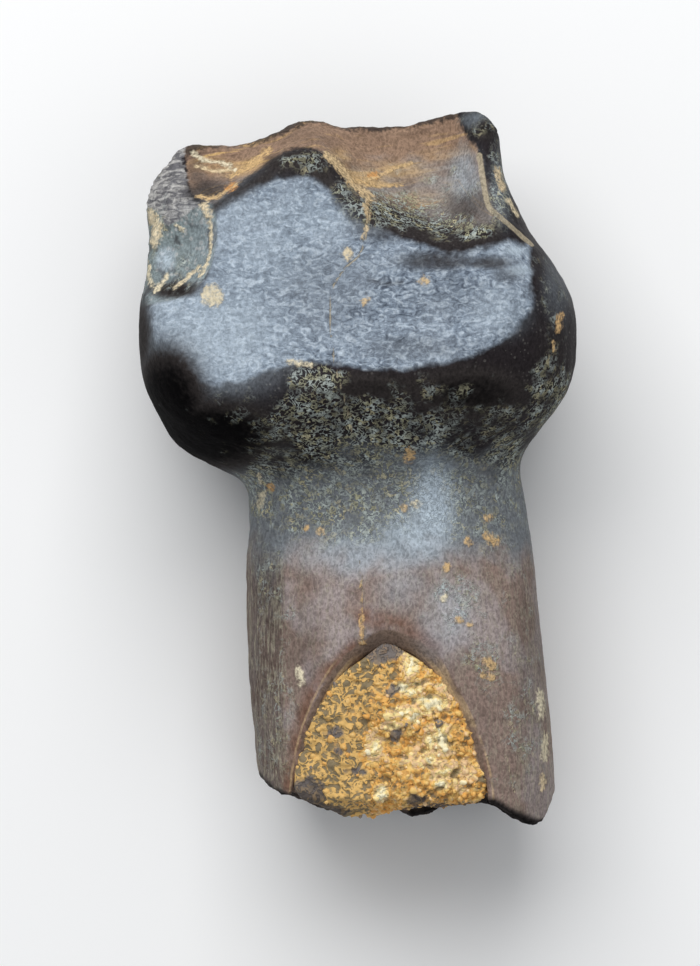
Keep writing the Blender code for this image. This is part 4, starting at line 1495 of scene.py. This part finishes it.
@dataclass
class SedimentPlug:
    """The cemented sand in the pulp hollow, which reaches the hollow's walls."""

    TINT = "tint"
    DEPTH = "depth"
    DARK = "dark"
    voxel: float = 0.055
    reach: float = 0.4
    rounding: int = 6
    end_y: float = -10.6
    lumps: tuple = (0.05, 0.12)
    crumbs: tuple = (0.04, 0.08)

    def build(self) -> bpy.types.Object:
        """Models the piece and keeps its tint and depth on its mesh, still in millimetres.

        Returns:
            The piece.
        """
        piece = copy_of_node("sediment_fill", "sediment_plug")
        places, normals = places_of(piece), normals_of(piece)
        level = normals * np.array((1.0, 1.0, 0.0))
        share = smooth_step(0.25, 0.5, np.linalg.norm(level, axis=1)) * (places[:, 1] > self.end_y)
        keep_in_box(piece, places + level * (self.reach * share)[:, None])
        apply_modifier(piece, "REMESH", mode="VOXEL", voxel_size=self.voxel)
        apply_modifier(piece, "SMOOTH", factor=0.5, iterations=self.rounding)
        places, normals = places_of(piece), normals_of(piece)
        shown = np.maximum(smooth_step(0.2, 0.6, normals[:, 2]), smooth_step(0.3, 0.7, -normals[:, 1]))
        ridges = 1 - 2 * np.abs(rough(places, (1.9, 2.6, 1.9), shift=21.0))
        crumbs = rough(places, (5.0, 5.0, 5.0), 2, shift=23.0)
        dark = self.matrix_and_shade_share(places)
        depth = 0.55 * (ridges - 0.35) + 0.45 * crumbs
        right = smooth_step(-0.8, 2.4, places[:, 0])
        lump_height = self.lumps[0] + (self.lumps[1] - self.lumps[0]) * right
        crumb_height = self.crumbs[0] + (self.crumbs[1] - self.crumbs[0]) * right
        rise = lump_height * (ridges - 0.5) * (1 - 0.7 * dark) + crumb_height * crumbs
        keep_in_box(piece, places + normals * (shown * rise)[:, None])
        keep_values(piece, self.TINT, self.tint(places))
        keep_values(piece, self.DEPTH, depth)
        keep_values(piece, self.DARK, dark)
        return piece

    @staticmethod
    def tint(places: np.ndarray) -> np.ndarray:
        """How pale the sand is: ochre to the left, yellow and white patches to the right.

        Args:
            places: The piece's vertices, in millimetres.

        Returns:
            The tints, 0 to 1.
        """
        right = smooth_step(-0.9, 1.6, places[:, 0])
        drift = 0.16 * rough(places, (0.9, 1.2, 0.9), shift=27.0)
        return np.clip(0.18 + 0.3 * right + drift + daubed(places[:, :2], PALE_SAND), 0.12, 1)

    @staticmethod
    def matrix_and_shade_share(places: np.ndarray) -> np.ndarray:
        """Where the sand is left out: grey-brown matrix, and painted shade in the recess at the plug's
        top and along its broken end.

        Args:
            places: The piece's vertices, in millimetres.

        Returns:
            The share of matrix and painted shade.
        """
        broken = 0.45 * rough(places, (2.4, 2.4, 2.4), shift=31.0)
        seen = daubed(places[:, :2], DARK_SAND) * smooth_step(4.6, 6.2, places[:, 2])
        return smooth_step(0.35, 0.6, seen + broken)


@dataclass
class SandGrains:
    """Sand grains that stand out of the plug, joined in one mesh."""

    TINT = "tint"
    count: int = 520
    smallest: float = 0.05
    largest: float = 0.115
    sunk: float = 0.55
    spacing: float = 1.0
    roughness: float = 0.5
    dark_part: float = 0.03
    big_part: float = 0.07
    big: float = 1.3
    bare_part: float = 0.85

    def build(self, plug: bpy.types.Object) -> bpy.types.Object:
        """Models one grain, and sets uneven copies of it over the plug's shown surfaces.

        Args:
            plug: The finished plug, still in millimetres.

        Returns:
            The grains as one piece.
        """
        pattern = self._one_grain()
        corners, faces = places_of(pattern), [tuple(f.vertices) for f in pattern.data.polygons]
        bpy.data.objects.remove(pattern)
        random = np.random.default_rng(SEED)
        middles, sizes, aways = self._spots(plug, random)
        tints = SedimentPlug.tint(middles) + random.normal(0.03, 0.1, len(middles))
        tints = np.where(random.random(len(middles)) < self.dark_part, 0.0, np.maximum(tints, 0.15))
        grains, joined = [], []
        for number, (middle, size, away) in enumerate(zip(middles, sizes, aways)):
            axis = Vector(random.normal(size=3))
            turn = np.array(Matrix.Rotation(random.uniform(0, math.tau), 3, axis))
            uneven = random.uniform(0.7, 1.3, 3)
            grains.append((corners * uneven) @ turn.T * size + middle - away * size * self.sunk)
            joined.extend(tuple(number * len(corners) + i for i in face) for face in faces)
        mesh = bpy.data.meshes.new("sand_grains")
        mesh.from_pydata(np.vstack(grains).tolist(), [], joined)
        piece = bpy.data.objects.new("sand_grains", mesh)
        bpy.context.scene.collection.objects.link(piece)
        keep_in_box(piece, places_of(piece))
        keep_values(piece, self.TINT, np.repeat(tints, len(corners)))
        return piece

    def _spots(self, plug: bpy.types.Object, random: np.random.Generator) -> tuple:
        """Middles, sizes and outward directions of the grains, spread so that few overlap.

        Args:
            plug: The plug.
            random: The source of chance.

        Returns:
            The three arrays, one grain a row.
        """
        places, normals = places_of(plug), normals_of(plug)
        left = smooth_step(1.4, -0.4, places[:, 0])
        bare = random.random(len(places)) < self.bare_part * left
        sandy = (SedimentPlug.matrix_and_shade_share(places) < 0.5) & ~bare
        at_end = (normals[:, 1] < -0.4) & (places[:, 1] < SedimentPlug.end_y)
        middles, sizes, aways = [], [], []
        for k in random.permutation(np.flatnonzero(sandy & ((normals[:, 2] > 0.25) | at_end))):
            size = random.uniform(self.smallest, self.largest)
            size *= self.big if random.random() < self.big_part else 1
            if middles:
                gaps = np.linalg.norm(np.array(middles) - places[k], axis=1)
                if np.any(gaps < self.spacing * (np.array(sizes) + size)):
                    continue
            middles.append(places[k])
            sizes.append(size)
            aways.append(normals[k])
            if len(middles) == self.count:
                break
        return np.array(middles), np.array(sizes), np.array(aways)

    def _one_grain(self) -> bpy.types.Object:
        """A blunt, angular grain of unit radius.

        Returns:
            The grain.
        """
        deselect_all()
        bpy.ops.mesh.primitive_ico_sphere_add(subdivisions=2, radius=1.0, location=(0, 0, 0))
        grain = bpy.context.active_object
        places = places_of(grain)
        uneven = self.roughness * rough(places, (0.9, 0.9, 0.9), 2, shift=2.0)
        set_places(grain, places * (1 + uneven)[:, None])
        return grain


@dataclass
class Studio:
    """Pale floor, soft light from the crown's side and a camera that looks straight down."""

    floor_size: float = 0.6
    camera_height: float = 0.25
    silhouette_height: float = 0.005
    key_size: tuple = (0.2, 0.15)
    key_place: tuple = (-0.03, 0.125, 0.16)
    key_power: float = 0.38
    fill_size: float = 0.2
    fill_place: tuple = (0.1, -0.05, 0.22)
    fill_power: float = 0.06
    air: float = 0.37
    air_colour: tuple = (0.93, 0.96, 1.0, 1.0)

    def build(self) -> None:
        """Makes floor, lights, air and camera."""
        self._floor()
        self._light("key", self.key_place, self.key_size, self.key_power)
        self._light("fill", self.fill_place, (self.fill_size, self.fill_size), self.fill_power)
        world = bpy.data.worlds.new("air")
        world.use_nodes = True
        background = world.node_tree.nodes["Background"]
        background.inputs["Color"].default_value = self.air_colour
        background.inputs["Strength"].default_value = self.air
        bpy.context.scene.world = world
        bpy.context.scene.view_settings.view_transform = "Standard"
        self._camera()

    def _floor(self) -> None:
        """A plain pale floor."""
        deselect_all()
        bpy.ops.mesh.primitive_plane_add(size=self.floor_size, location=(0, 0, 0))
        floor = bpy.context.active_object
        floor.name = "studio_floor"
        material, graph, shader = new_material("pale_floor", 0.9)
        tone = graph.noise(graph.place(), 0.05, 2.0)
        pale = graph.mix(tone, Paint(247, 247, 246), Paint(250, 250, 250))
        graph.feed(shader.inputs["Base Color"], pale)
        floor.data.materials.append(material)

    @staticmethod
    def _light(name: str, place: tuple, size: tuple, power: float) -> None:
        """A soft box that faces the tooth.

        Args:
            name: The light's name.
            place: Where it stands, in metres.
            size: Its width and height.
            power: Its power, in watts.
        """
        lamp = bpy.data.lights.new(name, "AREA")
        lamp.shape = "RECTANGLE"
        lamp.size, lamp.size_y = size
        lamp.energy = power
        holder = bpy.data.objects.new(name, lamp)
        holder.location = place
        holder.rotation_euler = (-Vector(place)).to_track_quat("-Z", "Y").to_euler()
        bpy.context.scene.collection.objects.link(holder)

    def _camera(self) -> None:
        """Frames the tooth as the photograph does, through a long lens."""
        lens = bpy.data.cameras.new("camera")
        shown = PHOTO_HEIGHT * MM_PER_PIXEL * MM
        lens.sensor_fit = "VERTICAL"
        lens.lens = lens.sensor_height * (self.camera_height - self.silhouette_height) / shown
        lens.clip_start, lens.clip_end = 0.01, 5.0
        holder = bpy.data.objects.new("camera", lens)
        holder.location = (PHOTO_MIDDLE[0] * MM, PHOTO_MIDDLE[1] * MM, self.camera_height)
        bpy.context.scene.collection.objects.link(holder)
        bpy.context.scene.camera = holder


def main() -> None:
    """Builds the pieces in order, and the studio round them."""
    logging.basicConfig(level=logging.INFO, format="%(name)s: %(message)s")
    effects = Effects()
    ToothSurface().build(ToothFinish(), effects)
    sand = SandFinish()
    plug = SedimentPlug().build()
    grains = SandGrains().build(plug)
    finish_piece(plug, "sediment_fill", sand.bed(effects))
    finish_piece(grains, "sediment_fill", sand.grains(effects))
    Studio().build()


if __name__ == "__main__":
    main()
